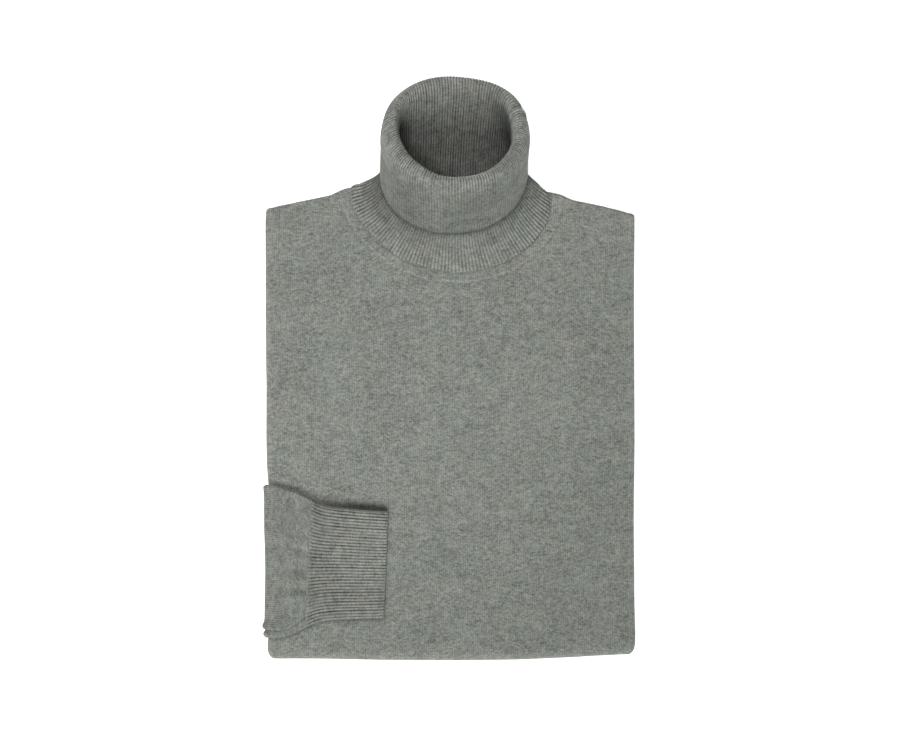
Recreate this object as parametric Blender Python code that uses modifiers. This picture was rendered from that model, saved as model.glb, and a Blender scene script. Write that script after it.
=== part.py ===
"""Turtleneck sweater, folded flat, with its ribbed collar standing open.

A fine-knit pullover lies on its back. Its sides are folded behind, its lower half is folded up
behind them, and one sleeve comes round the edge so that its ribbed cuff lies on the front.

The tables are in millimetres and the scene is in metres. +X runs across the body, +Y from the
bottom fold up to the collar, and +Z away from the surface that the sweater lies on.
"""

import math
from collections import namedtuple

import bmesh
import bpy
import numpy as np

MM = 0.001
PART_NAME = "folded_turtleneck_sweater"

# Knitted cloth
WALL = 2.0            # thickness of the jersey and of the rib
SEAM = 0.3            # gap between pieces that are sewn or that touch
NEST = 0.6            # room between the panel and the layers folded inside it
RIB_RELIEF = 0.7      # a rib's crest above the valley beside it

# The middle of the folded sweater's box, in the tables' own frame
BOX_MIDDLE = (-0.75, 1.08)

# The folded stack: as high as all its layers, and lower where the hem doesn't reach
STACK_HIGH = 22.0
STACK_LOW = 14.2
STACK_SLOPE = (-25.0, 125.0)
GROOVE_HIGH = 11.0    # the groove round the sides, between the upper and the lower fold
GROOVE_LOW = 3.6
GROOVE_SLOPE = (-25.0, 45.0)

# Rounded edges: how far each stands out from the flat of the panel
SIDE_REACH = 7.0
BOTTOM_REACH = 9.0
SHOULDER_REACH = 3.0
REACHES = (SHOULDER_REACH, SIDE_REACH, BOTTOM_REACH)
SHOULDER_DROP = 1.7   # how far each wall bends over at the shoulders
SHOULDER_TURN = 60.0
SIDE_BLEND = 45.0     # length of a side, a shoulder and the bottom over which one kind of fold
SHOULDER_BLEND = 20.0   # changes into the next
BOTTOM_BLEND = 30.0
WRAP_TURN = 150.0     # how far the front panel turns under at its sides and bottom
EDGE_STEPS = 5
CORNER_STEPS = 3
LOBE_STEPS = 4

# Headings of the edges, in degrees from +X: left shoulder, left side, bottom, right side,
# right shoulder
HEADINGS = (102.0, 180.0, 270.0, 360.0, 435.0)
NECK_SWING = (0.2, 0.8)   # the part of the top edge over which one shoulder's heading changes
                          # into the other's

# Outline of the folded body
Side = namedtuple("Side", "y left right")
SIDES = (
    Side(-262.0, -162.4, 162.2),
    Side(-252.0, -163.0, 164.6),
    Side(-243.0, -163.0, 166.4),
    Side(-232.0, -161.4, 165.0),
    Side(-222.0, -160.7, 164.6),
    Side(-113.0, -160.7, 164.4),
    Side(-100.0, -162.2, 164.4),
    Side(-82.0, -164.0, 164.5),
    Side(-50.0, -164.9, 164.6),
    Side(60.0, -165.2, 164.4),
    Side(145.0, -165.0, 164.4),
)
Edge = namedtuple("Edge", "x y")
BOTTOM = (
    Edge(-165.0, -260.3),
    Edge(60.0, -260.8),
    Edge(110.0, -258.6),
    Edge(165.0, -255.3),
)
SHOULDERS = (
    Edge(-165.0, 142.8),
    Edge(-128.5, 151.0),
    Edge(-106.5, 155.6),
    Edge(-92.0, 160.6),
    Edge(93.5, 157.6),
    Edge(106.4, 152.4),
    Edge(123.3, 148.3),
    Edge(147.3, 142.4),
    Edge(165.0, 137.2),
)

# Heights of the grid lines of the panels at their sides
ROW_LEVELS = (-251.0, -243.0, -232.0, -222.0, -168.0, -113.0, -98.0, -88.0,
              -55.0, -25.0, 4.0, 30.0, 56.0, 66.0, 90.0, 114.0, 138.0)
SHOULDER_COLUMNS = 3
NECK_COLUMNS = 16
LAYERS_COLUMN_STEP = 4    # the hidden layers take each fourth column across the neck

# Back panel and hidden layers, measured down from the top of the stack
BACK_FACE = 5.8
BACK_FOOT = 66.0
BACK_INSET = 1.0
BACK_LIFT = 0.6       # up to meet the front along the shoulders
BACK_REACH = 1.6
BACK_CORNER_SHARE = 0.15          # of that reach, near the outer corners
BACK_CORNER = (25.0, 40.0)
LAYERS_UNDER_BACK = 6.4
LAYERS_STEP = (46.0, 56.0)
LAYERS_SHORT = 1.0                # behind the shoulders' edge
NECK_SHORT = 6.0                  # behind the middle of the open neck, and how much less
NECK_BOW = 10.0                   # at its ends
UPPER_REACH = (2.6, 4.4, 6.4)     # at a shoulder, at a side and at the bottom
GROOVE_OUT = (0.3, 1.0, 2.2)
LOWER_REACH = (2.5, 6.3, 2.8)
CORNER_ROOM = 0.8
SIDE_GROOVE = -2.0                # the groove's depth along a side
UPPER_SQUASH = 0.1                # how much closer the upper fold lies to the front's edge
GROOVE_DROP = 0.8                 # from the upper fold down to the groove
GROOVE_RISE = 0.4                 # less of it along the bottom
LOWER_DROP = 0.4                  # from the groove down to the lower fold
LOWER_RISE = 1.6                  # the lower fold's rise along the bottom

# Collar: the rings of the middle of its wall, from the neckline up the stand, over the roll and
# down the turned-over part. Each has a half width, a centre, a skew from left to right, its
# place and height at the front, the sides and the back, and how much more steeply it crosses
# the sides.
Ring = namedtuple("Ring", "name half_width centre skew y_front y_side y_back y_tilt "
                          "z_front z_side z_back z_tilt")
RINGS = (
    Ring("neckline", 91.1, 1.5, 11.0, 87.2, 154.0, 141.0, 15.8, 14.4, 12.8, 9.6, 1.5),
    Ring("flare", 80.0, 1.8, 7.0, 103.0, 164.0, 156.0, 11.0, 18.0, 14.2, 10.3, 2.0),
    Ring("base", 68.5, 2.2, 3.0, 119.0, 171.0, 172.0, 6.0, 22.6, 15.6, 10.8, 1.5),
    Ring("stand_low", 60.0, 3.0, 0.0, 134.0, 178.0, 196.0, 0.0, 30.5, 19.0, 11.2, 0.0),
    Ring("stand_mid", 55.0, 3.8, 0.0, 149.0, 190.0, 224.0, 0.0, 42.5, 25.0, 11.0, 0.0),
    Ring("stand_top", 51.4, 4.6, 0.0, 163.6, 205.0, 252.0, 0.0, 56.7, 30.4, 10.3, 0.0),
    Ring("roll_in", 53.4, 4.6, 0.0, 166.6, 212.4, 260.0, 0.0, 60.3, 33.0, 8.9, 0.0),
    Ring("roll_tip", 58.2, 4.6, 0.0, 166.0, 214.6, 261.7, 0.0, 64.9, 34.0, 5.6, 0.0),
    Ring("roll_out", 63.1, 4.6, 0.0, 162.4, 212.6, 260.2, 0.0, 67.8, 33.4, 2.4, 0.0),
    Ring("turn_top", 65.0, 4.6, 0.0, 157.4, 208.0, 256.0, 0.0, 67.3, 32.0, 1.0, 0.0),
    Ring("turn_high", 65.4, 4.6, -1.0, 145.4, 198.5, 241.0, 3.0, 58.0, 29.8, 1.0, 0.0),
    Ring("turn_low", 65.8, 4.6, -2.0, 132.6, 187.0, 223.0, 7.0, 43.6, 27.0, 1.0, 0.0),
    Ring("turn_edge", 66.3, 4.6, -3.0, 121.0, 174.5, 206.0, 10.0, 28.6, 24.0, 1.0, 0.0),
)
COLLAR_RIBS = 144
RIB_POINTS = 2 * COLLAR_RIBS
RING_STEPS = 400      # steps that measure the length of half a ring
PLAIN_POINTS = 48
OUTSIDE_RIBBED = 4    # rings whose outer side shows below the turned-over part
INSIDE_RIBBED = 3     # first ring whose inner side shows in the open neck
NECK_GAP = 1.5        # room in plan between the neckline ring and the panels' edges
NECK_END = 0.01       # a column this close to the neckline's end belongs to the shoulder
FLAT_RIBS = (1.5, 4.0)   # below this height the ribs lie pressed flat on the surface

# Sleeve that comes round the left edge, and its cuff. Each row crosses the sleeve from its upper
# to its lower edge.
Crossing = namedtuple("Crossing", "x_upper x_lower y_upper y_lower")
SLEEVE_EDGE = Crossing(0.0, 0.0, -104.0, -240.0)
SLEEVE_TAIL = Crossing(0.0, 0.0, -105.0, -239.0)
SLEEVE_ROWS = (
    Crossing(-146.0, -146.0, -105.6, -238.4),
    Crossing(-136.0, -138.0, -109.2, -235.6),
    Crossing(-123.0, -128.8, -116.6, -231.2),
)
CUFF_ROWS = (
    Crossing(-122.7, -128.5, -116.8, -231.0),
    Crossing(-111.0, -115.0, -122.2, -226.0),
    Crossing(-84.0, -88.0, -125.4, -223.9),
    Crossing(-55.3, -58.9, -127.6, -223.2),
)
SLEEVE_ROLL_STEPS = 6
SLEEVE_TAIL_LENGTH = 5.0
CUFF_RIBS = 34        # ribs across each face of the flat cuff
TUBE_BASE = 0.35      # lowest point of a flat tube above what it lies on, less the seam gap
TUBE_HEIGHT = 5.3     # two walls and the slit between them
TUBE_SLIT = 1.3
TUBE_ROUND = 2.6      # radius of the folded edges
TUBE_FLAT_RIB = 0.5   # this close to a folded edge a rib is pressed flat
TUBE_EDGE_LIFT = 0.25     # rise of the underside at a folded edge
TUBE_EDGE_LIFT_END = 2.0
TUBE_NEAR = (0.35, 1.4, 2.8)      # points of a plain section, from its upper edge
TUBE_MIDDLE_END = 13.0            # and from its lower edge
TUBE_MIDDLE = (0.25, 0.5, 0.75, 1.0)
TUBE_FAR = (10.6, 9.2, 8.3, 7.2, 5.6, 2.6, 1.2, 0.3)
TUBE_UNDER = (1, 4, 6, 13)        # those of its points that it has underneath too
LAYER_OVERLAP = 1.0   # how far the lower layer runs in below the upper one
SLIT_NEAR = 2.6       # ends of the slit, from the section's upper and lower edges
SLIT_FAR = 4.5
SLIT_TAPER = 2.4
SLIT_COARSE = 5.0
SLIT_STEP = (12.5, 9.5)   # where its upper layer comes down on the lower one
SLIT_LOW = 0.4
SLIT_TIP = 0.15
LOWER_LAYER = 8.3     # how far the tube's lower layer shows past the upper one
LOWER_HEIGHT = 4.2
POCKET_HEIGHT = 6.0   # space in the left side that the sleeve comes out of
POCKET_DEPTH = 5.0
POCKET_FADE = ((-251.0, -243.0), (-98.0, -88.0))

# Colours, as linear red, green and blue
JERSEY = (0.232, 0.247, 0.222)
RIB = (0.214, 0.230, 0.203)
SHADE = (0.205, 0.218, 0.196)
KNIT_ROUGHNESS = 0.95
CREASE_ANGLE = 50.0


def clear_scene():
    """Remove what the new file starts with."""
    for item in list(bpy.data.objects):
        bpy.data.objects.remove(item, do_unlink=True)


def smooth(value, low, high):
    """A soft step from 0 at low to 1 at high."""
    part = min(max((value - low) / (high - low), 0.0), 1.0)
    return part * part * (3.0 - 2.0 * part)


def mix(first, second, share):
    return first + (second - first) * share


def column(rows, field):
    return [getattr(row, field) for row in rows]


# ---------------------------------------------------------------- the folded body's outline

def stack_top(y):
    """Height of the front panel's outer face."""
    return mix(STACK_HIGH, STACK_LOW, smooth(y, *STACK_SLOPE))


def groove_height(y):
    return mix(GROOVE_HIGH, GROOVE_LOW, smooth(y, *GROOVE_SLOPE))


def left_core(y):
    """Left end of the flat of the panel, where its rounded side begins."""
    return np.interp(y, column(SIDES, "y"), column(SIDES, "left")) + SIDE_REACH


def right_core(y):
    return np.interp(y, column(SIDES, "y"), column(SIDES, "right")) - SIDE_REACH


def bottom_core(x):
    return np.interp(x, column(BOTTOM, "x"), column(BOTTOM, "y")) + BOTTOM_REACH


def shoulder_core(x):
    return np.interp(x, column(SHOULDERS, "x"), column(SHOULDERS, "y")) - SHOULDER_REACH


# ---------------------------------------------------------------- the collar's rings

def front_side_back(front, side, back, angle, tilt=0.0):
    """A value round a ring: front at -90 degrees, side at 0 and 180, back at 90."""
    rise = math.sin(angle)
    slope = (back - front) / 2 + tilt
    bow = (back + front) / 2 - side
    return side + slope * rise + bow * rise ** 2 - tilt * rise ** 3


def ring_point(ring, angle):
    across = math.cos(angle)
    x = ring.centre + ring.half_width * across
    y = front_side_back(ring.y_front, ring.y_side, ring.y_back, angle, ring.y_tilt)
    y -= ring.skew / 2 * across
    z = front_side_back(ring.z_front, ring.z_side, ring.z_back, angle, -ring.z_tilt)
    return np.array((x, y, z))


def even_ring(ring, count):
    """Points round a ring, as many on its front half as on its back half, evenly apart on each."""
    points = []
    half = count // 2
    for start in (0.0, math.pi):
        angles = np.linspace(start, start + math.pi, RING_STEPS)
        dense = np.array([ring_point(ring, angle) for angle in angles])
        steps = np.linalg.norm(np.diff(dense, axis=0), axis=1)
        travelled = np.concatenate(([0.0], np.cumsum(steps)))
        wanted = np.linspace(0.0, travelled[-1], half + 1)[:-1]
        points += [[np.interp(at, travelled, dense[:, axis]) for axis in range(3)]
                   for at in wanted]
    return np.array(points)


def neck_front(x):
    """Edge of the front panel below the collar."""
    ring = RINGS[0]
    across = (x - ring.centre) / (ring.half_width + NECK_GAP)
    angle = -math.acos(min(max(across, -1.0), 1.0))
    return ring_point(ring, angle)[1] + NECK_GAP * math.sin(angle)


def neck_back(x):
    """Edge of the back panel behind the collar."""
    ring = RINGS[0]
    across = (x - ring.centre) / ring.half_width
    angle = math.acos(min(max(across, -1.0), 1.0))
    return ring_point(ring, angle)[1] - NECK_GAP


# ---------------------------------------------------------------- mesh helpers

class Builder:
    """Collects the vertices and faces of one piece."""

    def __init__(self):
        self.points = []
        self.faces = []

    def add(self, point):
        self.points.append(tuple(float(value) for value in point))
        return len(self.points) - 1

    def face(self, *corners):
        """A face, without the corners that fall together."""
        kept = []
        for corner in corners:
            if corner not in kept:
                kept.append(corner)
        if len(kept) > 2:
            self.faces.append(kept)

    def grid(self, rows):
        """Faces over rows of vertices, facing up where rows run up and columns to the right."""
        for lower, upper in zip(rows, rows[1:]):
            for left in range(len(lower) - 1):
                self.face(lower[left], lower[left + 1], upper[left + 1], upper[left])

    def bridge(self, first, second):
        """Faces between two closed loops of (vertex, place round the loop from 0 to 1)."""
        if len(first) == len(second):
            for index in range(len(first)):
                after = (index + 1) % len(first)
                self.face(first[index][0], first[after][0], second[after][0], second[index][0])
            return
        one = list(first) + [(first[0][0], 1.0 + first[0][1])]
        two = list(second) + [(second[0][0], 1.0 + second[0][1])]
        at_one = 0
        at_two = 0
        while at_one < len(first) or at_two < len(second):
            step_one = at_two == len(second)
            if not step_one and at_one < len(first):
                middle_one = one[at_one][1] + one[at_one + 1][1]
                middle_two = two[at_two][1] + two[at_two + 1][1]
                step_one = middle_one <= middle_two
            if step_one:
                self.face(one[at_one][0], one[at_one + 1][0], two[at_two][0])
                at_one += 1
            else:
                self.face(one[at_one][0], two[at_two + 1][0], two[at_two][0])
                at_two += 1

    def finish(self, name, colour, collection):
        """The piece as an object, in metres, shaded smooth away from its creases."""
        mesh = bpy.data.meshes.new(name)
        points = [((x - BOX_MIDDLE[0]) * MM, (y - BOX_MIDDLE[1]) * MM, z * MM)
                  for x, y, z in self.points]
        mesh.from_pydata(points, [], self.faces)
        mesh.validate()
        mesh.shade_smooth()
        mesh.set_sharp_from_angle(angle=math.radians(CREASE_ANGLE))
        piece = bpy.data.objects.new(name, mesh)
        piece.data.materials.append(knit_material(name + "_knit", colour))
        collection.objects.link(piece)
        return piece


def turn_faces_out(piece):
    """Make the faces of a closed piece look outwards."""
    work = bmesh.new()
    work.from_mesh(piece.data)
    bmesh.ops.recalc_face_normals(work, faces=work.faces)
    work.to_mesh(piece.data)
    work.free()


def thicken(piece):
    """Give an open sheet its wall, on the side away from its normals."""
    solidify = piece.modifiers.new("cloth_wall", "SOLIDIFY")
    solidify.thickness = WALL * MM
    solidify.offset = -1.0
    solidify.use_rim = True


def knit_material(name, colour):
    material = bpy.data.materials.new(name)
    material.use_nodes = True
    shader = material.node_tree.nodes["Principled BSDF"]
    shader.inputs["Base Color"].default_value = (*colour, 1.0)
    shader.inputs["Roughness"].default_value = KNIT_ROUGHNESS
    shader.inputs["Metallic"].default_value = 0.0
    material.diffuse_color = (*colour, 1.0)
    return material


# ---------------------------------------------------------------- rounded edges

def edge_shares(heading):
    """How much of a border column belongs to a shoulder, to a side and to the bottom."""
    shoulder = np.interp(heading, HEADINGS, (1.0, 0.0, 0.0, 0.0, 1.0))
    bottom = np.interp(heading, HEADINGS, (0.0, 0.0, 1.0, 0.0, 0.0))
    return shoulder, 1.0 - shoulder - bottom, bottom


def shared(values, heading):
    """Mix a shoulder's, a side's and the bottom's value."""
    return sum(share * value for share, value in zip(edge_shares(heading), values))


def rounded(reach, drop, turn):
    """Step out and up after turning so many degrees down a half oval."""
    angle = math.radians(turn)
    return reach * math.sin(angle), -drop / 2 * (1.0 - math.cos(angle))


def nearest(base, corners):
    return min(math.dist(base[:2], corner[:2]) for corner in corners)


def fold_shares(base, rows, heading):
    """Shares of a shoulder's, a side's and the bottom's kind of fold, changing past corners."""
    shoulder, _side, bottom = edge_shares(heading)
    from_top = nearest(base, (rows[-1][0], rows[-1][-1]))
    from_bottom = nearest(base, (rows[0][0], rows[0][-1]))
    if bottom > 0.0:
        bottom = 0.5 * bottom + 0.5 * min(from_bottom / BOTTOM_BLEND, 1.0)
    elif shoulder > 0.0:
        shoulder = 0.5 + 0.5 * min(from_top / SHOULDER_BLEND, 1.0)
    else:
        shoulder = 0.5 - 0.5 * min(from_top / SIDE_BLEND, 1.0)
    return shoulder, 1.0 - shoulder - bottom, bottom


def shoulder_profile(reach, drop, steps):
    """Steps over the edge of a wall at the shoulders."""
    turn = math.radians(SHOULDER_TURN)
    wide = reach / math.sin(turn)
    high = 2.0 * drop / (1.0 - math.cos(turn))
    return [rounded(wide, high, SHOULDER_TURN * step / steps) for step in range(1, steps + 1)]


def front_profile(base, rows, heading):
    """Steps from the flat of the front panel round its edge: (out, up)."""
    shoulder, side, bottom = fold_shares(base, rows, heading)
    reach = shared(REACHES, heading)
    over = shoulder_profile(reach, SHOULDER_DROP, EDGE_STEPS)
    if shoulder == 1.0:
        return over
    drop = stack_top(base[1]) - groove_height(base[1]) * side / (side + bottom)
    turns = [WRAP_TURN * step / EDGE_STEPS for step in range(1, EDGE_STEPS + 1)]
    under = [rounded(reach, drop, turn) for turn in turns]
    mixed = [(mix(one[0], two[0], shoulder), mix(one[1], two[1], shoulder))
             for one, two in zip(under, over)]
    widen = reach / max(out for out, _up in mixed)
    return [(out * widen, up) for out, up in mixed]


def border(rows, columns):
    """Border places round a grid as (row, column, heading), counter-clockwise from the top right.

    A corner has one place for each step of its turn.
    """
    left_shoulder, left_side, bottom, right_side, right_shoulder = HEADINGS
    last = columns - 1
    top = rows - 1
    turn = [step / CORNER_STEPS for step in range(CORNER_STEPS + 1)]
    found = []
    for at in range(last - 1, 0, -1):
        swing = smooth(at / last, *NECK_SWING)
        found.append((top, at, mix(left_shoulder, right_shoulder - 360.0, swing)))
    found += [(top, 0, mix(left_shoulder, left_side, share)) for share in turn]
    found += [(at, 0, left_side) for at in range(top - 1, 0, -1)]
    found += [(0, 0, mix(left_side, bottom, share)) for share in turn]
    found += [(0, at, bottom) for at in range(1, last)]
    found += [(0, last, mix(bottom, right_side, share)) for share in turn]
    found += [(at, last, right_side) for at in range(1, top)]
    found += [(top, last, mix(right_side, right_shoulder, share)) for share in turn]
    return found


def step_out(point, heading, out, up):
    angle = math.radians(heading)
    return (point[0] + out * math.cos(angle), point[1] + out * math.sin(angle), point[2] + up)


def add_edge(build, strips):
    """Faces between neighbouring strips of vertices that run out from a panel's border."""
    for before, after in zip(strips, strips[1:]):
        for step in range(len(before) - 1):
            build.face(before[step], before[step + 1], after[step + 1], after[step])


# ---------------------------------------------------------------- panels

def neck_half():
    return RINGS[0].half_width + NECK_GAP


def panel_columns():
    """Where the panels' grid lines meet the shoulders and the neckline."""
    neck = [RINGS[0].centre - neck_half() * math.cos(math.pi * at / NECK_COLUMNS)
            for at in range(NECK_COLUMNS + 1)]
    left = left_core(ROW_LEVELS[-1])
    right = right_core(ROW_LEVELS[-1])
    share = [at / SHOULDER_COLUMNS for at in range(SHOULDER_COLUMNS)]
    return ([mix(left, neck[0], part) for part in share] + neck
            + [mix(right, neck[-1], part) for part in reversed(share)])


def panel_rows(columns, top_of, foot_of, levels, height_of, inset=0.0):
    """Grid points of a panel, between its foot and its top edge."""
    low, high = levels[0], levels[-1]
    wide = columns[-1] - columns[0]
    rows = []
    for level in levels:
        share = (level - low) / (high - low)
        row = []
        for at in columns:
            y = mix(foot_of(at), top_of(at), share)
            across = (at - columns[0]) / wide
            x = mix(left_core(y) + inset, right_core(y) - inset, across)
            row.append((x, y, height_of(y)))
        rows.append(row)
    return rows


def inside_neck(x):
    return abs(x - RINGS[0].centre) < neck_half() - NECK_END


def front_top(x):
    return min(shoulder_core(x), neck_front(x)) if inside_neck(x) else shoulder_core(x)


def back_top(x):
    return min(shoulder_core(x), neck_back(x)) if inside_neck(x) else shoulder_core(x)


def make_front_panel(collection):
    """Front of the body: flat on top, rounded over the sides, the bottom fold and the shoulders."""
    columns = panel_columns()
    rows = panel_rows(columns, front_top, bottom_core, ROW_LEVELS, stack_top)
    build = Builder()
    ids = [[build.add(point) for point in row] for row in rows]
    build.grid(ids)
    around = border(len(rows), len(columns))
    top = len(rows) - 1
    from_neck = [at for at, place in enumerate(around)
                 if place[0] == top and place[1] == SHOULDER_COLUMNS][0]
    across_neck = NECK_COLUMNS - 1
    around = around[from_neck:] + around[:from_neck - across_neck]
    strips = []
    for row, at, heading in around:
        base = rows[row][at]
        strip = [ids[row][at]]
        for out, up in front_profile(base, rows, heading):
            strip.append(build.add(step_out(base, heading, out, up)))
        strips.append(strip)
    add_edge(build, strips)
    piece = build.finish("front_panel", JERSEY, collection)
    thicken(piece)


def make_back_panel(collection):
    """Strip of the back of the body that shows behind the shoulders and in the neck."""
    columns = panel_columns()
    levels = [level for level in ROW_LEVELS if level >= BACK_FOOT]

    def foot(_x):
        return BACK_FOOT

    def outer_face(y):
        return stack_top(y) - BACK_FACE

    rows = panel_rows(columns, back_top, foot, levels, outer_face, BACK_INSET)
    rows[-1] = [(x, y, z + BACK_LIFT) for x, y, z in rows[-1]]
    build = Builder()
    ids = [[build.add(point) for point in row] for row in rows]
    build.grid([row[::-1] for row in ids])
    last = len(columns) - 1
    stretches = (
        (range(SHOULDER_COLUMNS, -1, -1), HEADINGS[0]),
        (range(last, last - SHOULDER_COLUMNS - 1, -1), HEADINGS[-1]),
    )
    for stretch, heading in stretches:
        strips = []
        for at in stretch:
            base = rows[-1][at]
            from_corner = nearest(base, (rows[-1][0], rows[-1][-1]))
            share = mix(BACK_CORNER_SHARE, 1.0, smooth(from_corner, *BACK_CORNER))
            end = build.add(step_out(base, heading, BACK_REACH * share, 0.0))
            strips.append([ids[-1][at], end])
        add_edge(build, strips[::-1])
    piece = build.finish("back_panel", JERSEY, collection)
    thicken(piece)


# ---------------------------------------------------------------- hidden layers

def layers_top(y):
    under_front = WALL + NEST
    return stack_top(y) - mix(under_front, LAYERS_UNDER_BACK, smooth(y, *LAYERS_STEP))


def layers_end(x):
    """Far edge of the hidden layers: behind the shoulders, and short of the open neck."""
    ring = RINGS[0]
    across = min(abs(x - ring.centre) / ring.half_width, 1.0)
    dip = ring.y_back - NECK_SHORT + NECK_BOW * across * across
    return min(shoulder_core(x) - LAYERS_SHORT, dip)


def sleeve_room(x, y):
    """1 along the stretch of the left side where the sleeve comes out, else 0."""
    if x > 0.0:
        return 0.0
    upper = 1.0 - smooth(y, *POCKET_FADE[1])
    lower = smooth(y, *POCKET_FADE[0])
    return upper * lower


def layered_profile(base, rows, heading, corner):
    """Steps down the edge: round the upper fold, into a groove, round the lower fold."""
    x, y = base[:2]
    shoulder, side, bottom = fold_shares(base, rows, heading)
    on_side = heading in (HEADINGS[1], HEADINGS[3]) and not corner
    room = sleeve_room(x, y) if on_side else 0.0
    groove = (shoulder + side) * groove_height(y)
    upper_top = layers_top(y)
    upper_low = groove + WALL + NEST - UPPER_SQUASH
    lower_top = groove - LOWER_DROP + LOWER_RISE * bottom - POCKET_HEIGHT * room
    groove_out = SIDE_GROOVE - POCKET_DEPTH * room if on_side else shared(GROOVE_OUT, heading)
    lower_base = max(groove_out, 0.0)
    side_reach = mix(UPPER_REACH[1], UPPER_REACH[0], smooth(y, *LAYERS_STEP))
    upper_reach = shared((UPPER_REACH[0], side_reach, UPPER_REACH[2]), heading)
    upper_reach -= CORNER_ROOM if corner else 0.0
    lower_reach = shared(LOWER_REACH, heading) - lower_base
    profile = []
    for step in range(1, LOBE_STEPS + 1):
        out, up = rounded(upper_reach, upper_top - upper_low, WRAP_TURN * step / LOBE_STEPS)
        profile.append((out, upper_top + up))
    profile.append((groove_out, upper_low - GROOVE_DROP + GROOVE_RISE * bottom))
    profile.append((groove_out, lower_top))
    for step in range(1, LOBE_STEPS):
        out, up = rounded(lower_reach, lower_top, 180.0 * step / LOBE_STEPS)
        profile.append((lower_base + out, lower_top + up))
    return profile


def make_folded_layers(collection):
    """All the hidden layers as one solid, flat underneath and layered at its edges."""
    wide = panel_columns()
    ends = SHOULDER_COLUMNS
    columns = wide[:ends] + wide[ends:-ends:LAYERS_COLUMN_STEP] + wide[-ends:]
    rows = panel_rows(columns, layers_end, bottom_core, ROW_LEVELS, layers_top)
    build = Builder()
    top_ids = [[build.add(point) for point in row] for row in rows]
    floor_ids = [[build.add((x, y, 0.0)) for x, y, _z in row] for row in rows]
    build.grid(top_ids)
    build.grid([row[::-1] for row in floor_ids])
    ends = (0, len(rows) - 1)
    sides = (0, len(columns) - 1)
    strips = []
    for row, at, heading in border(len(rows), len(columns)):
        base = rows[row][at]
        strip = [top_ids[row][at]]
        corner = row in ends and at in sides
        for out, height in layered_profile(base, rows, heading, corner):
            point = step_out(base, heading, out, 0.0)
            strip.append(build.add((point[0], point[1], height)))
        strip.append(floor_ids[row][at])
        strips.append(strip)
    add_edge(build, strips + strips[:1])
    build.finish("folded_layers", SHADE, collection)


# ---------------------------------------------------------------- sleeve and cuff

def beside_panel(x, y):
    """Point and outward normal on the flat of the front panel."""
    return np.array((x, y, stack_top(y))), np.array((0.0, 0.0, 1.0))


def round_left_edge(turn, y):
    """Point and outward normal on the panel's rounded left side."""
    drop = stack_top(y) - groove_height(y)
    out, up = rounded(SIDE_REACH, drop, turn)
    angle = math.radians(turn)
    normal = np.array((-math.sin(angle) * drop / 2, 0.0, math.cos(angle) * SIDE_REACH))
    point = np.array((left_core(y) - out, y, stack_top(y) + up))
    return point, normal / np.linalg.norm(normal)


def under_left_edge(inset, y):
    """Point and outward normal below the panel's rounded side, in the groove."""
    return (np.array((left_core(y) + inset, y, groove_height(y))),
            np.array((0.0, 0.0, -1.0)))


def layer_height(edge, height):
    """Height of a flat tube's layer at a distance from its folded edge."""
    inward = min(max(edge / TUBE_ROUND, 0.0), 1.0)
    return height * math.sqrt(1.0 - (1.0 - inward) ** 2)


def tube_height(v, width):
    """Upper side of the flat tube: the upper layer, and the lower one that shows past it."""
    upper = layer_height(min(v, width - LOWER_LAYER - v), TUBE_HEIGHT)
    past = v - width + LOWER_LAYER + LAYER_OVERLAP
    lower = layer_height(min(past, width - v), LOWER_HEIGHT)
    return max(upper, lower)


def tube_loop(width, ribs):
    """Outer loop of the tube's section, as (distance from the upper edge, height, on top)."""
    if ribs:
        across = [(at + 0.5) * width / (2 * ribs) for at in range(2 * ribs)]
        relief = [RIB_RELIEF / 2 * (1 if at % 2 else -1) for at in range(2 * ribs)]
        under = list(zip(across, relief))
    else:
        middle_end = width - TUBE_MIDDLE_END
        middle = [mix(TUBE_NEAR[-1], middle_end, share) for share in TUBE_MIDDLE]
        across = list(TUBE_NEAR) + middle + [width - back for back in TUBE_FAR]
        relief = [0.0] * len(across)
        under = [(across[at], 0.0) for at in TUBE_UNDER]
    loop = []
    for v, rib in zip(across, relief):
        pressed = smooth(min(v, width - v), TUBE_FLAT_RIB, TUBE_ROUND)
        loop.append((v, TUBE_BASE + tube_height(v, width) + rib * pressed, True))
    for v, rib in reversed(under):
        edge = min(v, width - v)
        lift = TUBE_EDGE_LIFT * (1.0 - smooth(edge, 0.0, TUBE_EDGE_LIFT_END))
        pressed = smooth(edge, TUBE_FLAT_RIB, TUBE_ROUND)
        loop.append((v, TUBE_BASE - rib * pressed + lift, False))
    return loop


def slit_loop(width, section):
    """Inner loop of the tube's section: the slit between its layers, under an outer loop."""
    low = TUBE_BASE + WALL
    high = low + TUBE_SLIT
    end = low + SLIT_TIP
    near, far = SLIT_NEAR, width - SLIT_FAR
    step_high, step_low = (width - back for back in SLIT_STEP)
    top_at = (near, near + SLIT_TAPER, step_high, step_low, far)
    top = (low + TUBE_SLIT / 2, high, high, low + SLIT_LOW, end)
    under_at = (near, near + SLIT_TAPER, step_low, far)
    under = (low + TUBE_SLIT / 2, low, low, end)
    loop = []
    for v, _height, on_top in section:
        v = min(max(v, near), far)
        height = np.interp(v, top_at, top) if on_top else np.interp(v, under_at, under)
        loop.append((v, height, on_top))
    return loop


def coarse_section(width):
    """A few places round the slit, where nothing fine has to meet it."""
    step_high, step_low = (width - back for back in SLIT_STEP)
    on_top = [(v, 0.0, True) for v in (0.0, SLIT_COARSE, step_high, step_low)]
    return on_top + [(v, 0.0, False) for v in (width, step_low, SLIT_COARSE)]


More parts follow.
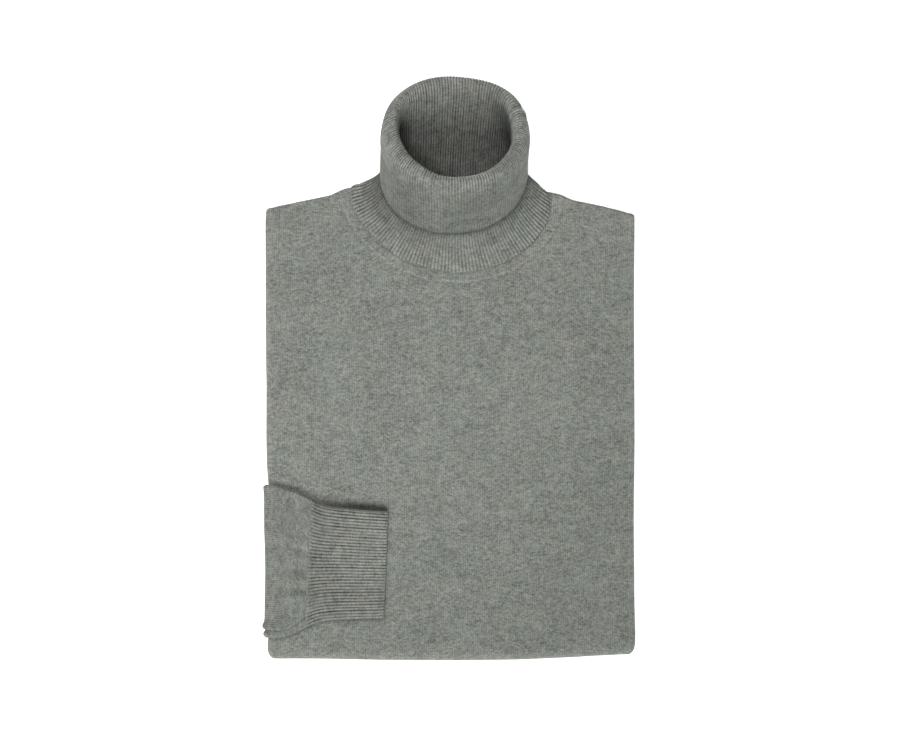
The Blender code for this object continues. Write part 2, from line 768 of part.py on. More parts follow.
def add_loop(build, section, crossing, surface):
    """Vertices of one loop of a tube's section, each with its place round the loop."""
    width = crossing.y_upper - crossing.y_lower
    loop = []
    found = {}
    for v, height, on_top in section:
        key = (round(v, 6), round(float(height), 6))
        if key not in found:
            y = crossing.y_upper - v
            point, normal = surface(v / width, y)
            found[key] = build.add(point + normal * (SEAM + height))
        place = v / width / 2
        loop.append((found[key], place if on_top else 1.0 - place))
    return loop


def make_tube(name, stations, ribs, colour, collection):
    """A flattened tube of cloth through stations of (crossing, surface at a point across it)."""
    build = Builder()
    outer, inner = [], []
    for at, (crossing, surface) in enumerate(stations):
        width = crossing.y_upper - crossing.y_lower
        section = tube_loop(width, ribs)
        outer.append(add_loop(build, section, crossing, surface))
        inside = at not in (0, len(stations) - 1) and ribs
        slit = slit_loop(width, coarse_section(width) if inside else section)
        inner.append(add_loop(build, slit, crossing, surface))
    for first, second in zip(outer, outer[1:]):
        build.bridge(first, second)
    for first, second in zip(inner, inner[1:]):
        build.bridge(second, first)
    for end in (0, -1):
        build.bridge(inner[end], outer[end])
    piece = build.finish(name, colour, collection)
    turn_faces_out(piece)


def flat_station(crossing):
    def surface(share, y):
        return beside_panel(mix(crossing.x_upper, crossing.x_lower, share), y)
    return crossing, surface


def roll_station(turn):
    def surface(_share, y):
        return round_left_edge(turn, y)
    return SLEEVE_EDGE, surface


def tail_station(inset):
    def surface(_share, y):
        return under_left_edge(inset, y)
    return SLEEVE_TAIL, surface


def make_sleeve(collection):
    """End of the sleeve: out of the groove, round the left edge and on to the front."""
    stations = [tail_station(SLEEVE_TAIL_LENGTH)]
    for step in range(SLEEVE_ROLL_STEPS + 1):
        stations.append(roll_station(180.0 - 180.0 * step / SLEEVE_ROLL_STEPS))
    stations += [flat_station(crossing) for crossing in SLEEVE_ROWS]
    make_tube("sleeve", stations, 0, JERSEY, collection)


def make_cuff(collection):
    """Ribbed cuff, sewn to the sleeve's end and lying on the front."""
    stations = [flat_station(crossing) for crossing in CUFF_ROWS]
    make_tube("sleeve_cuff", stations, CUFF_RIBS, RIB, collection)


# ---------------------------------------------------------------- collar

def collar_normals(rings):
    """Unit normals of the middle of the wall, towards the outside of the stand."""
    around = np.roll(rings, -1, axis=1) - np.roll(rings, 1, axis=1)
    along = np.gradient(rings, axis=0)
    normals = np.cross(around, along)
    return normals / np.linalg.norm(normals, axis=2, keepdims=True)


def make_collar(collection):
    """Turtleneck: a ribbed tube that flares to the neckline and is turned over at its top."""
    fine = np.array([even_ring(ring, RIB_POINTS) for ring in RINGS])
    normals = collar_normals(fine)
    ratio = RIB_POINTS // PLAIN_POINTS
    build = Builder()

    def loop(row, side, ribbed):
        """One ring of the outer (side 1) or the inner (side -1) face."""
        found = []
        for at in range(0, RIB_POINTS, 1 if ribbed else ratio):
            rib = RIB_RELIEF / 2 * (1 if at % 2 else -1) if ribbed else 0.0
            if side < 0:
                rib *= smooth(fine[row, at, 2], *FLAT_RIBS)
            point = fine[row, at] + normals[row, at] * side * (WALL / 2 + rib)
            point[2] = max(point[2], 0.0)
            found.append((build.add(point), at / RIB_POINTS))
        return found

    count = len(RINGS)
    outside = [loop(row, 1, row < OUTSIDE_RIBBED) for row in range(count)]
    inside = [loop(row, -1, row >= INSIDE_RIBBED) for row in range(count)]
    around = outside + inside[::-1]
    for first, second in zip(around, around[1:] + around[:1]):
        build.bridge(first, second)
    piece = build.finish("collar", RIB, collection)
    turn_faces_out(piece)


def main():
    clear_scene()
    collection = bpy.data.collections.new(PART_NAME)
    bpy.context.scene.collection.children.link(collection)
    make_front_panel(collection)
    make_back_panel(collection)
    make_folded_layers(collection)
    make_sleeve(collection)
    make_cuff(collection)
    make_collar(collection)


main()
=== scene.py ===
"""Looks of the folded turtleneck sweater: its cloth, its ribs, and plain studio light.

The tables are in millimetres, in the same frame as the part's own, and the scene is in metres. Each
piece is a thin shell of cloth in the place of the CAD solid that it replaces.
"""

import math

import bpy
import numpy as np
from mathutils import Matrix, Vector
from mathutils.geometry import delaunay_2d_cdt


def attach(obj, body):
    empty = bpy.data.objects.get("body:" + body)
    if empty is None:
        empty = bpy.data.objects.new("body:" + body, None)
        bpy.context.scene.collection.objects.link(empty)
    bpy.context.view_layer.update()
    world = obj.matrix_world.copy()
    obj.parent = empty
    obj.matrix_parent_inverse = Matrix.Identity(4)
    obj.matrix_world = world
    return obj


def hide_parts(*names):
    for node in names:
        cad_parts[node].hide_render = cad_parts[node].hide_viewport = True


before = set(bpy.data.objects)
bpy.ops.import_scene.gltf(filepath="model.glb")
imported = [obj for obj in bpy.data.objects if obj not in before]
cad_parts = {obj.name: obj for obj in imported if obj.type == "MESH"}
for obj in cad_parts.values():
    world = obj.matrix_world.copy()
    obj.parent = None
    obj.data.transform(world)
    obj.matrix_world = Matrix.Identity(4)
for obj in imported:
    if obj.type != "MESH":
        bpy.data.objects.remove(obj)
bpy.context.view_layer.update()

MM = 0.001
BOX_MIDDLE = (-0.75, 1.08)    # middle of the folded sweater's box, in the tables' frame

# Knitted cloth
WALL = 2.0            # thickness
SEAM = 0.3            # gap between pieces that are sewn or that touch
NEST = 0.6            # room between the front and the layers folded inside it

# The folded stack's heights, as in the CAD
STACK_HIGH = 22.0
STACK_LOW = 14.2
STACK_SLOPE = (-25.0, 125.0)
GROOVE_HIGH = 11.0    # the groove round the sides, between the upper and the lower fold
GROOVE_LOW = 3.6
GROOVE_SLOPE = (-25.0, 45.0)

# Rounded edges at the shoulders, the sides and the bottom
SIDE_REACH = 7.0
BOTTOM_REACH = 9.0
SHOULDER_REACH = 3.0
SHOULDER_DROP = 3.6   # how far the cloth bends over at the shoulders
SHOULDER_TURN = 110.0
SIDE_BLEND = 45.0     # length of a side, a shoulder and the bottom over which one kind of fold
SHOULDER_BLEND = 20.0     # changes into the next
BOTTOM_BLEND = 30.0
WRAP_TURN = 165.0     # how far the front turns under at its sides and bottom
NEARLY_ALL = 0.999    # from this share on, an edge is wholly a shoulder's
# Which way each edge faces: left shoulder, left side, bottom, right side, right shoulder
HEADINGS = (102.0, 180.0, 270.0, 360.0, 435.0)

# Outline of the folded body: y, left and right; then x and y along the bottom and the shoulders
SIDES = np.array((
    (-262.0, -163.1, 162.8), (-252.0, -163.7, 165.0), (-243.0, -163.5, 166.8),
    (-232.0, -161.8, 166.0), (-222.0, -161.2, 165.7), (-205.0, -161.0, 165.3),
    (-185.0, -160.7, 165.3), (-165.0, -161.2, 165.0), (-145.0, -161.7, 164.8),
    (-113.0, -161.7, 164.9), (-102.0, -163.0, 165.2), (-88.0, -164.2, 165.3),
    (-64.0, -164.8, 165.6), (-14.0, -164.6, 165.3), (8.0, -165.3, 165.4),
    (60.0, -165.9, 165.5), (118.0, -166.0, 165.9), (137.0, -166.1, 166.1),
    (141.0, -165.7, 165.9), (145.0, -164.6, 165.2),
))
BOTTOM = np.array((
    (-165.0, -260.4), (-110.0, -260.9), (-60.0, -262.0), (10.0, -262.3), (60.0, -261.7),
    (110.0, -259.5), (165.0, -256.2),
))
SHOULDERS = np.array((
    (-165.0, 142.8), (-160.0, 144.5), (-154.0, 146.1), (-128.5, 151.0), (-106.5, 155.6),
    (-98.0, 159.8), (-93.0, 161.8), (-86.0, 163.0), (86.0, 158.8), (93.5, 157.6),
    (97.0, 156.4), (101.0, 155.6), (105.5, 152.6), (112.0, 150.6), (123.3, 148.5),
    (147.3, 143.3), (157.0, 140.7), (161.0, 139.2), (165.0, 137.2),
))
OUTLINE_SOFTEN = 8.0      # how far its corners are rounded off
SHOULDER_SOFTEN = 3.0
SOFTEN_SAMPLES = 9        # places whose values are averaged for that
TOP_CORNER = 138.0        # y at which the corners' x is taken
BOTTOM_CORNER = -251.0

# Collar, from the neckline up the stand, over the roll and down the turned-over part: half width,
# centre, skew, y at the front, sides and back with its tilt, the same for the height, and how far
# its right end is drawn up towards the shoulder
RINGS = np.array((
    (89.8, 1.1, 11.0, 88.0, 154.0, 141.0, 15.8, 14.4, 12.8, 9.6, 1.5, 6.5),
    (79.4, 1.6, 2.6, 103.0, 160.6, 156.0, 11.0, 18.0, 14.2, 10.3, 2.0, 1.5),
    (68.0, 2.2, -1.0, 119.0, 168.6, 170.0, 6.0, 22.6, 15.6, 10.8, 1.5, 0.0),
    (60.0, 3.0, 3.0, 134.0, 176.5, 195.0, 0.0, 30.5, 19.0, 11.2, 0.0, 0.0),
    (55.0, 3.8, 6.0, 149.0, 193.0, 224.0, 0.0, 42.5, 25.0, 11.0, 0.0, 0.0),
    (51.4, 4.6, 8.5, 163.6, 209.2, 252.0, 0.0, 56.7, 30.4, 10.3, 0.0, 0.0),
    (53.4, 4.6, 6.5, 166.6, 215.6, 260.0, 0.0, 60.3, 33.0, 8.9, 0.0, 0.0),
    (58.2, 4.6, 1.6, 166.0, 215.4, 261.7, 0.0, 64.9, 34.0, 5.6, 0.0, 0.0),
    (63.1, 4.6, 0.0, 162.4, 212.6, 260.2, 0.0, 67.8, 33.4, 2.4, 0.0, 0.0),
    (65.0, 4.6, 0.0, 157.4, 208.0, 256.0, 0.0, 67.3, 32.0, 1.0, 0.0, 0.0),
    (65.2, 4.4, -1.0, 145.4, 198.5, 241.0, 3.0, 58.0, 29.8, 1.0, 0.0, 0.0),
    (65.0, 3.8, -2.0, 132.6, 187.0, 223.0, 7.0, 43.6, 27.0, 1.0, 0.0, 0.0),
    (65.1, 3.4, -3.0, 121.0, 174.5, 206.0, 10.0, 28.6, 24.0, 1.0, 0.0, 0.0),
))
Y_BACK = 5            # the column of y at the back
BACK_FULLNESS = 0.045     # how much fuller than an ellipse a ring's back half is at its corners
END_WIDTH = 0.12      # angle over which a ring's right end is drawn up
RING_SAMPLES = 500    # places that measure the length of half a ring
BACK_RIBS = 62
FRONT_RIBS = 76
COLLAR_RIBS = BACK_RIBS + FRONT_RIBS
POINTS_A_RIB = 6
RIB_RELIEF = 0.9      # height of a full rib
RIB_DEPTHS = (0.9, 1.8)   # its crest and, below that, its valley, in halves of that height
RIB_PITCH = 2.2       # a rib's width in knit coordinates
RIB_VALLEY = 0.19     # width of the valley between two ribs, as a share of their pitch
OUTSIDE_VALLEY = 0.16     # the same on the outside of the stand
FLAT_RIBS = (1.5, 4.0)    # below this height the ribs lie pressed flat on the surface
NECK_GAP = 0.3        # between the neckline ring and the panels' edges

# Sleeve and cuff: x at the upper and lower edge, y at the upper and lower edge
SLEEVE_EDGE = (-104.0, -241.3)
SLEEVE_ROWS = np.array((
    (-153.0, -153.0, -104.4, -241.3), (-146.0, -146.0, -106.9, -239.6),
    (-136.0, -138.0, -109.9, -236.6), (-123.0, -128.8, -116.6, -231.7),
))
CUFF_ROWS = np.array((
    (-124.0, -129.8, -116.3, -232.0), (-111.0, -115.0, -122.2, -226.3),
    (-84.0, -88.0, -125.4, -223.9), (-55.3, -58.9, -127.6, -223.2),
))
CUFF_RIBS = 36
TUBE_BASE = 0.35             # lowest point of a flat tube above what it lies on, less the seam gap
TUBE_HEIGHT = 6.5
TUBE_ROUND = 2.6             # radius of the folded edges
TUBE_FLAT_RIB = 0.5          # this close to a folded edge a rib is pressed flat
TUBE_EDGE_LIFT = 0.25        # rise of the underside at a folded edge
TUBE_EDGE_LIFT_END = 2.0
SLEEVE_OVERLAP = 1.0         # how far the lower layer's round starts below the upper one
CUFF_OVERLAP = 2.3
SLEEVE_THINNING = (0.68, 1.0, -148.0, -124.0)     # share of its height, coming round the side
CUFF_THINNING = (1.0, 0.64, 0.94, 1.0)            # and the cuff's, towards its end
LAP_DROP = (0.0, 0.9, 0.955, 1.0)                 # the sleeve sinks where its cuff laps over it
LOWER_HEIGHT = 4.7
# How far the lower layer shows past the upper one: x, width
LOWER_LAYER = ((-160.0, 7.0), (-142.0, 6.4), (-128.0, 9.4), (-112.0, 8.2), (-58.0, 8.0))
# The slit inside a flat tube: its ends, where its roof comes down on the lower layer, and heights
SLIT_FAR = 4.5
SLIT_TAPER = 2.4
SLIT_WALL = 0.8              # share of a wall that is left below it
SLIT_STEP = (13.5, 10.0)
SLIT_FLOOR_END = 9.5
SLIT_ROOF = (0.6, 1.3, 1.3, 0.5, 0.3)
SLIT_FLOOR = (0.5, 0.0, 0.0, 0.15)

# Seeds of what is uneven: the front's long waves, the layers' edge, the sleeve, and the ribs
FRONT_SEEDS = (3, 5)
LAYERS_SEED = 7
SLEEVE_SEED = 11
COLLAR_SEED = 17
CUFF_SEED = 31
COLLAR_EDGE_SEED = 43
# Ranges of a wave's length as a share of its own, of a rib's depth, and of the length of the waves
# along a rib, which change its depth by RIB_WAVE
WAVE_TUNE = (0.85, 1.15)
RIB_TUNE = (0.72, 1.25)
RIB_WAVES = (17.0, 44.0)
RIB_WAVE = 0.22


# ---------------------------------------------------------------- numbers and curves

def smooth(value, low, high):
    part = np.clip((value - low) / (high - low), 0.0, 1.0)
    return part * part * (3.0 - 2.0 * part)


def mix(first, second, share):
    return first + (second - first) * share


def ramp(value, start, end, low, high):
    """From start to end while the value goes from low to high."""
    return mix(start, end, smooth(value, low, high))


def bell(value, middle, width):
    """1 at its middle, falling off softly on both sides."""
    return np.exp(-((value - middle) / width) ** 2)


def bells(value, rows):
    """Sum of bells, from rows of their middle, width and height."""
    return sum(height * bell(value, middle, width) for middle, width, height in rows)


def softened(at, places, values, reach=OUTLINE_SOFTEN):
    """A table's value with its corners rounded off."""
    offsets = np.linspace(-reach, reach, SOFTEN_SAMPLES)
    return sum(np.interp(at + offset, places, values) for offset in offsets) / len(offsets)


def along_curve(points):
    """How far along a curve each of its points is."""
    steps = np.linalg.norm(np.diff(points, axis=0), axis=1)
    return np.concatenate(([0.0], np.cumsum(steps)))


def nearest(points, curve):
    """Each point's distance from a curve's points, in plan."""
    gaps = points[:, None] - curve
    return np.sqrt((gaps ** 2).sum(axis=2)).min(axis=1)


def through(at, places, values):
    """A smooth curve through a table's values."""
    places = np.asarray(places, float)
    values = np.asarray(values, float)
    slopes = np.gradient(values, places)
    index = np.clip(np.searchsorted(places, at, side="right") - 1, 0, len(places) - 2)
    width = places[index + 1] - places[index]
    t = (at - places[index]) / width
    return ((2 * t ** 3 - 3 * t ** 2 + 1) * values[index]
            + (t ** 3 - 2 * t ** 2 + t) * slopes[index] * width
            + (3 * t ** 2 - 2 * t ** 3) * values[index + 1]
            + (t ** 3 - t ** 2) * slopes[index + 1] * width)


def ripple(at, seed, wavelengths):
    """Uneven waves from -1 to 1 along a line, the same on each run."""
    chance = np.random.RandomState(seed)
    total = 0.0
    for wavelength in wavelengths:
        phase, tune = chance.uniform(0.0, 2.0 * math.pi), chance.uniform(*WAVE_TUNE)
        total = total + np.sin(2.0 * math.pi * at / (wavelength * tune) + phase)
    return total / len(wavelengths)


def hump(x, y, centre, reach, turn=0.0):
    """A soft round or long hump, 1 at its centre."""
    angle = math.radians(turn)
    along = (x - centre[0]) * math.cos(angle) + (y - centre[1]) * math.sin(angle)
    across = (y - centre[1]) * math.cos(angle) - (x - centre[0]) * math.sin(angle)
    return np.exp(-(along / reach[0]) ** 2 - (across / reach[1]) ** 2)


# ---------------------------------------------------------------- the folded body's outline

def stack_top(y):
    return ramp(y, STACK_HIGH, STACK_LOW, *STACK_SLOPE)


def groove_height(y):
    return ramp(y, GROOVE_HIGH, GROOVE_LOW, *GROOVE_SLOPE)


def left_core(y):
    return softened(y, SIDES[:, 0], SIDES[:, 1]) + SIDE_REACH


def right_core(y):
    return softened(y, SIDES[:, 0], SIDES[:, 2]) - SIDE_REACH


def bottom_core(x):
    return softened(x, BOTTOM[:, 0], BOTTOM[:, 1]) + BOTTOM_REACH


def shoulder_core(x):
    return softened(x, SHOULDERS[:, 0], SHOULDERS[:, 1], SHOULDER_SOFTEN) - SHOULDER_REACH


# ---------------------------------------------------------------- the collar's rings

def front_side_back(front, side, back, angle, tilt):
    """A value round a ring that is given at its front, sides and back."""
    rise = np.sin(angle)
    return (side + ((back - front) / 2 + tilt) * rise + ((back + front) / 2 - side) * rise ** 2
            - tilt * rise ** 3)


def ring_points(ring, angle):
    """Points of one ring of the collar at some angles; the tilt is of its front half only."""
    (half_width, centre, skew, y_front, y_side, y_back, y_tilt,
     z_front, z_side, z_back, z_tilt, drawn_up) = ring
    fuller = 1.0 + BACK_FULLNESS * np.where(np.sin(angle) > 0.0, np.sin(2.0 * angle) ** 2, 0.0)
    x = centre + half_width * np.cos(angle) * fuller
    tilt = np.where(np.sin(angle) < 0.0, y_tilt, 0.0)
    y = y_side + (front_side_back(y_front, y_side, y_back, angle, tilt) - y_side) * fuller
    y = y - skew / 2 * np.cos(angle)
    y = y + drawn_up * np.exp(-((1.0 - np.cos(angle)) * 2.0 / END_WIDTH ** 2))
    z = front_side_back(z_front, z_side, z_back, angle, -z_tilt)
    return np.stack((x, y, z), axis=-1)


def even_ring(ring):
    """Points round a ring, evenly apart on its back half and on its front half, and their angles."""
    angles = []
    for start, ribs in ((0.0, BACK_RIBS), (math.pi, FRONT_RIBS)):
        angle = np.linspace(start, start + math.pi, RING_SAMPLES)
        travelled = along_curve(ring_points(ring, angle))
        wanted = np.linspace(0.0, travelled[-1], ribs * POINTS_A_RIB + 1)[:-1]
        angles.append(np.interp(wanted, travelled, angle))
    angles = np.concatenate(angles)
    return ring_points(ring, angles), angles


def neckline(angle):
    """The panels' edge below the collar, at some angles."""
    points = ring_points(RINGS[0], angle)
    points[..., 0] += NECK_GAP * np.cos(angle)
    points[..., 1] += NECK_GAP * np.sin(angle)
    return points


def across_neck(x, gap=0.0):
    """Where x lies across the neckline, from -1 at its left end to 1 at its right end."""
    half_width, centre = RINGS[0, :2]
    return np.clip((x - centre) / (half_width + gap), -1.0, 1.0)


# ---------------------------------------------------------------- mesh helpers

class Cloth:
    """Collects the points, faces and knit coordinates of one piece."""

    def __init__(self):
        self.points = []
        self.knit = []
        # how light the yarn looks, mostly painted light and shade
        self.tone = []
        self.faces = []

    def add(self, point, knit, valley=0.0, tone=1.0):
        self.points.append((float(point[0]), float(point[1]), float(point[2])))
        self.knit.append((float(knit[0]), float(knit[1]), float(valley)))
        self.tone.append(float(tone))
        return len(self.points) - 1

    def add_rows(self, points, knit, valley, tone=1.0):
        """Vertices of a whole grid; gives their numbers in the grid's shape."""
        start = len(self.points)
        self.points += [tuple(point) for point in points.reshape(-1, 3)]
        both = np.concatenate((knit, valley[..., None]), axis=-1)
        self.knit += [tuple(value) for value in both.reshape(-1, 3)]
        self.tone += list(np.broadcast_to(tone, valley.shape).ravel())
        return start + np.arange(points[..., 0].size).reshape(points.shape[:-1])

    def edge_strip(self, first, start, heading, steps, tone=1.0):
        """Vertices out over an edge, from the one numbered first, at start, by (out, height)."""
        angle = math.radians(heading)
        gone = 0.0
        before = (0.0, start[2])
        strip = [int(first)]
        for out, height in steps:
            gone += math.dist(before, (out, height))
            before = (out, height)
            place = (start[0] + out * math.cos(angle), start[1] + out * math.sin(angle))
            knit = (start[0] + gone * math.cos(angle), start[1] + gone * math.sin(angle))
            strip.append(self.add((*place, height), knit, 0.0, tone))
        return strip

    def face(self, *corners):
        """One face, without the corners that fall together."""
        kept = []
        for corner in corners:
            if corner not in kept:
                kept.append(corner)
        if len(kept) > 2:
            self.faces.append(kept)

    def grid(self, ids, closed=False):
        """Faces over rows of vertices; a closed grid joins each row's end to its start."""
        after = np.roll(ids, -1, axis=1) if closed else ids[:, 1:]
        before = ids if closed else ids[:, :-1]
        quads = np.stack((before[:-1], after[:-1], after[1:], before[1:]), axis=-1)
        self.faces += quads.reshape(-1, 4).tolist()

    def shell(self, outer, inner):
        """Faces over two closed grids, one inside the other, and between their ends."""
        for ids in (outer, inner[:, ::-1], np.stack((inner[0], outer[0])),
                    np.stack((outer[-1], inner[-1]))):
            self.grid(ids, closed=True)

    def join(self, strips, closed=False):
        """Faces between neighbouring strips of vertices."""
        for one, two in zip(strips, strips[1:] + strips[:1] if closed else strips[1:]):
            for step in range(len(one) - 1):
                self.face(one[step], one[step + 1], two[step + 1], two[step])

    def finish(self, name):
        """The piece as an object, with its knit coordinates and tones."""
        mesh = bpy.data.meshes.new(name)
        points = np.array(self.points)
        points[:, 0] -= BOX_MIDDLE[0]
        points[:, 1] -= BOX_MIDDLE[1]
        mesh.from_pydata((points * MM).tolist(), [], self.faces)
        knit = mesh.attributes.new("knit", "FLOAT_VECTOR", "POINT")
        knit.data.foreach_set("vector", np.array(self.knit, np.float32).ravel())
        tone = mesh.attributes.new("tone", "FLOAT", "POINT")
        tone.data.foreach_set("value", np.array(self.tone, np.float32))
        mesh.shade_smooth()
        piece = bpy.data.objects.new(name, mesh)
        bpy.context.scene.collection.objects.link(piece)
        return piece


def give_wall(piece):
    """Turn an open surface into a shell, on the side away from its normals."""
    solidify = piece.modifiers.new("wall", "SOLIDIFY")
    solidify.thickness = WALL * MM
    solidify.offset = -1.0
    solidify.use_rim = True
    bpy.context.view_layer.update()
    shaped = piece.evaluated_get(bpy.context.evaluated_depsgraph_get())
    mesh = bpy.data.meshes.new_from_object(shaped)
    piece.modifiers.clear()
    piece.data = mesh
    return piece


# ---------------------------------------------------------------- rounded edges

def edge_shares(heading):
    """Shares of a shoulder's, a side's and the bottom's edge in one that faces some way."""
    shoulder = np.interp(heading, HEADINGS, (1.0, 0.0, 0.0, 0.0, 1.0))
    bottom = np.interp(heading, HEADINGS, (0.0, 0.0, 1.0, 0.0, 0.0))
    return shoulder, 1.0 - shoulder - bottom, bottom


def edge_reach(heading):
    """How far the cloth goes out past its core: round a corner, the radius of an ellipse."""
    angle = math.radians(heading)
    end = BOTTOM_REACH if HEADINGS[1] < heading < HEADINGS[3] else SHOULDER_REACH
    return SIDE_REACH * end / math.hypot(end * math.cos(angle), SIDE_REACH * math.sin(angle))


def shared(values, heading):
    """A value that is given for a shoulder, a side and the bottom."""
    return sum(share * value for share, value in zip(edge_shares(heading), values))


def rounded(reach, drop, turn):
    """One place round a fold's outside: how far out and how far up."""
    angle = math.radians(turn)
    return reach * math.sin(angle), -drop / 2 * (1.0 - math.cos(angle))


def fold_shares(base, corners, heading):
    """Shares of a shoulder's, a side's and the bottom's kind of fold, changing past corners."""
    shoulder, _side, bottom = edge_shares(heading)
    from_top = min(math.dist(base[:2], corner) for corner in corners[:2])
    from_bottom = min(math.dist(base[:2], corner) for corner in corners[2:])
    if bottom > 0.0:
        bottom = 0.5 * bottom + 0.5 * min(from_bottom / BOTTOM_BLEND, 1.0)
    elif shoulder > 0.0:
        shoulder = 0.5 + 0.5 * min(from_top / SHOULDER_BLEND, 1.0)
    else:
        shoulder = 0.5 - 0.5 * min(from_top / SIDE_BLEND, 1.0)
    return shoulder, 1.0 - shoulder - bottom, bottom


def front_profile(base, corners, heading, steps):
    """Steps from the flat of the front round its edge: (out, up)."""
    shoulder, side, bottom = fold_shares(base, corners, heading)
    reach = edge_reach(heading)
    turn = math.radians(SHOULDER_TURN)
    wide = reach / math.sin(turn)
    high = 2.0 * SHOULDER_DROP / (1.0 - math.cos(turn))
    over = [rounded(wide, high, SHOULDER_TURN * step / steps) for step in range(1, steps + 1)]
    if shoulder > NEARLY_ALL:
        return over
    drop = stack_top(base[1]) - groove_height(base[1]) * side / (side + bottom)
    under = [rounded(reach, drop, WRAP_TURN * step / steps) for step in range(1, steps + 1)]
    mixed = [(mix(one[0], two[0], shoulder), mix(one[1], two[1], shoulder))
             for one, two in zip(under, over)]
    widen = reach / max(out for out, _up in mixed)
    return [(out * widen, up) for out, up in mixed]


def body_corners():
    """Corners of the flat of the body: top left, top right, bottom left, bottom right."""
    found = []
    for y, core in ((TOP_CORNER, left_core), (TOP_CORNER, right_core),
                    (BOTTOM_CORNER, left_core), (BOTTOM_CORNER, right_core)):
        x = float(core(y))
        edge = shoulder_core(x) if y > 0.0 else bottom_core(x)
        found.append((float(core(float(edge))), float(edge)))
    return found


def steps_along(length, step):
    """Shares of the way along a length, about a step apart, without its end."""
    return np.linspace(0.0, 1.0, max(int(round(length / step)), 1) + 1)[:-1]


def body_border(step, corner_steps, neck):
    """Border of the body's flat, counter-clockwise from the neckline's left end.

    Gives (x, y, heading) for each place; a corner has one for each step of its turn. neck is the
    x of the left and right end of the open stretch at the collar.
    """
    top_left, top_right, bottom_left, bottom_right = body_corners()
    found = [(neck[0], float(shoulder_core(neck[0])), HEADINGS[0])]

    def turn(corner, number):
        for share in np.linspace(0.0, 1.0, corner_steps + 1):
            found.append((*corner, mix(HEADINGS[number], HEADINGS[number + 1], share)))

    def level(start, end, heading, core):
        for share in steps_along(abs(end - start), step)[1:]:
            x = mix(start, end, share)
            found.append((x, float(core(x)), heading))

    def upright(start, end, heading, core):
        for share in steps_along(math.dist(start, end), step)[1:]:
            y = mix(start[1], end[1], share)
            found.append((float(core(y)), y, heading))

    level(neck[0], top_left[0], HEADINGS[0], shoulder_core)
    turn(top_left, 0)
    upright(top_left, bottom_left, HEADINGS[1], left_core)
    turn(bottom_left, 1)
    level(bottom_left[0], bottom_right[0], HEADINGS[2], bottom_core)
    turn(bottom_right, 2)
    upright(bottom_right, top_right, HEADINGS[3], right_core)
    turn(top_right, 3)
    level(top_right[0], neck[1], HEADINGS[4], shoulder_core)
    found.append((neck[1], float(shoulder_core(neck[1])), HEADINGS[4]))
    return found


# ---------------------------------------------------------------- front of the body

GRID = 2.3            # spacing of the points on the flat
GRID_SPAN = ((-158.0, 158.0), (-255.0, 160.0))
NECK_SAMPLES = 420    # places that measure the neckline
NECK_STEP = 1.9       # spacing along the neckline
NECK_SHORT_OF = 0.5   # the neckline's points end this far before the shoulder
NECK_CLEAR = 0.4      # room between the neckline and the flat's other points
NECK_BANDS = np.arange(0.9, 15.0, 0.95)     # distances from it of the rows of points beside it
BAND_ROOM = 0.6       # from the last of them to the plain grid, as a share of its spacing
EDGE_STEPS = 11
CORNER_STEPS = 9
PAST_NECK = (4.0, -5.0)     # how far the shoulders' edges go on behind the collar's ends, in x
INSIDE_ONLY = 1       # the triangulation's kind of output, and how close points may be
MERGE = 1e-5
APART = 1e-6

# The linking row and the grooves beside it: distance from the neckline, width, height or tone. The
# tones are a painted highlight on the row, painted shade in the groove beside it and painted light
# along the neckline's edge
LINK_SHAPES = ((9.0, 1.1, 0.5), (11.4, 1.4, -0.3))
LINK_PAINTED_LIGHT_AND_SHADE = ((9.0, 1.0, 0.16), (11.2, 1.0, -0.1), (0.0, 2.4, 0.1))
NECK_DIP = (-1.0, 0.0, 0.3, 3.4)      # the front's edge goes down under the collar's

# Long low waves: their wavelengths, slants and height, and where the cuff keeps them down
DRIFT_WAVES = ((118.0, 71.0, 47.0), (140.0, 83.0))
DRIFT_SLANTS = (0.35, -0.2)
DRIFT_HEIGHT = 0.45
DRIFT_CALM = ((-110.0, -172.0), (62.0, 72.0))

# Soft folds of the front: centre, reach along and across, turn in degrees, height
FRONT_FOLDS = (
    ((158.0, -240.0), (9.0, 3.2), 58.0, -1.1),
    ((162.0, -247.0), (6.0, 4.5), 45.0, 0.6),
    ((150.0, -226.0), (20.0, 5.0), 70.0, 0.35),
    ((-92.0, 118.0), (34.0, 7.0), 62.0, 0.45),
    ((-108.0, 104.0), (40.0, 8.0), 66.0, -0.35),
    ((96.0, 112.0), (36.0, 7.0), 118.0, 0.4),
    ((112.0, 96.0), (30.0, 8.0), 112.0, -0.3),
    ((30.0, -246.0), (60.0, 5.0), 1.0, 0.35),
    ((-60.0, -60.0), (70.0, 16.0), 24.0, 0.3),
    ((70.0, 10.0), (60.0, 14.0), -20.0, 0.3),
)

# Painted light and shade on the front, where it is a little lighter or darker, also along its bottom
# edge: centre, reach across and up, share
FRONT_PAINTED_LIGHT_AND_SHADE = (
    ((40.0, -30.0), (80.0, 200.0), 0.035), ((-115.0, 130.0), (70.0, 30.0), -0.06),
    ((-130.0, -262.0), (70.0, 14.0), -0.09), ((15.0, -262.0), (60.0, 14.0), 0.035),
    ((130.0, -262.0), (50.0, 14.0), -0.08),
)
SLANT_PAINTED_SHADE = (1.0, 0.88, 0.0, 380.0)       # painted shade, darker towards its lower right, by x less y
EDGE_PAINTED_LIGHT = (1.12, 1.0, 1.0, 1.15, 1.12)  # painted light along its shoulders and right side, for HEADINGS

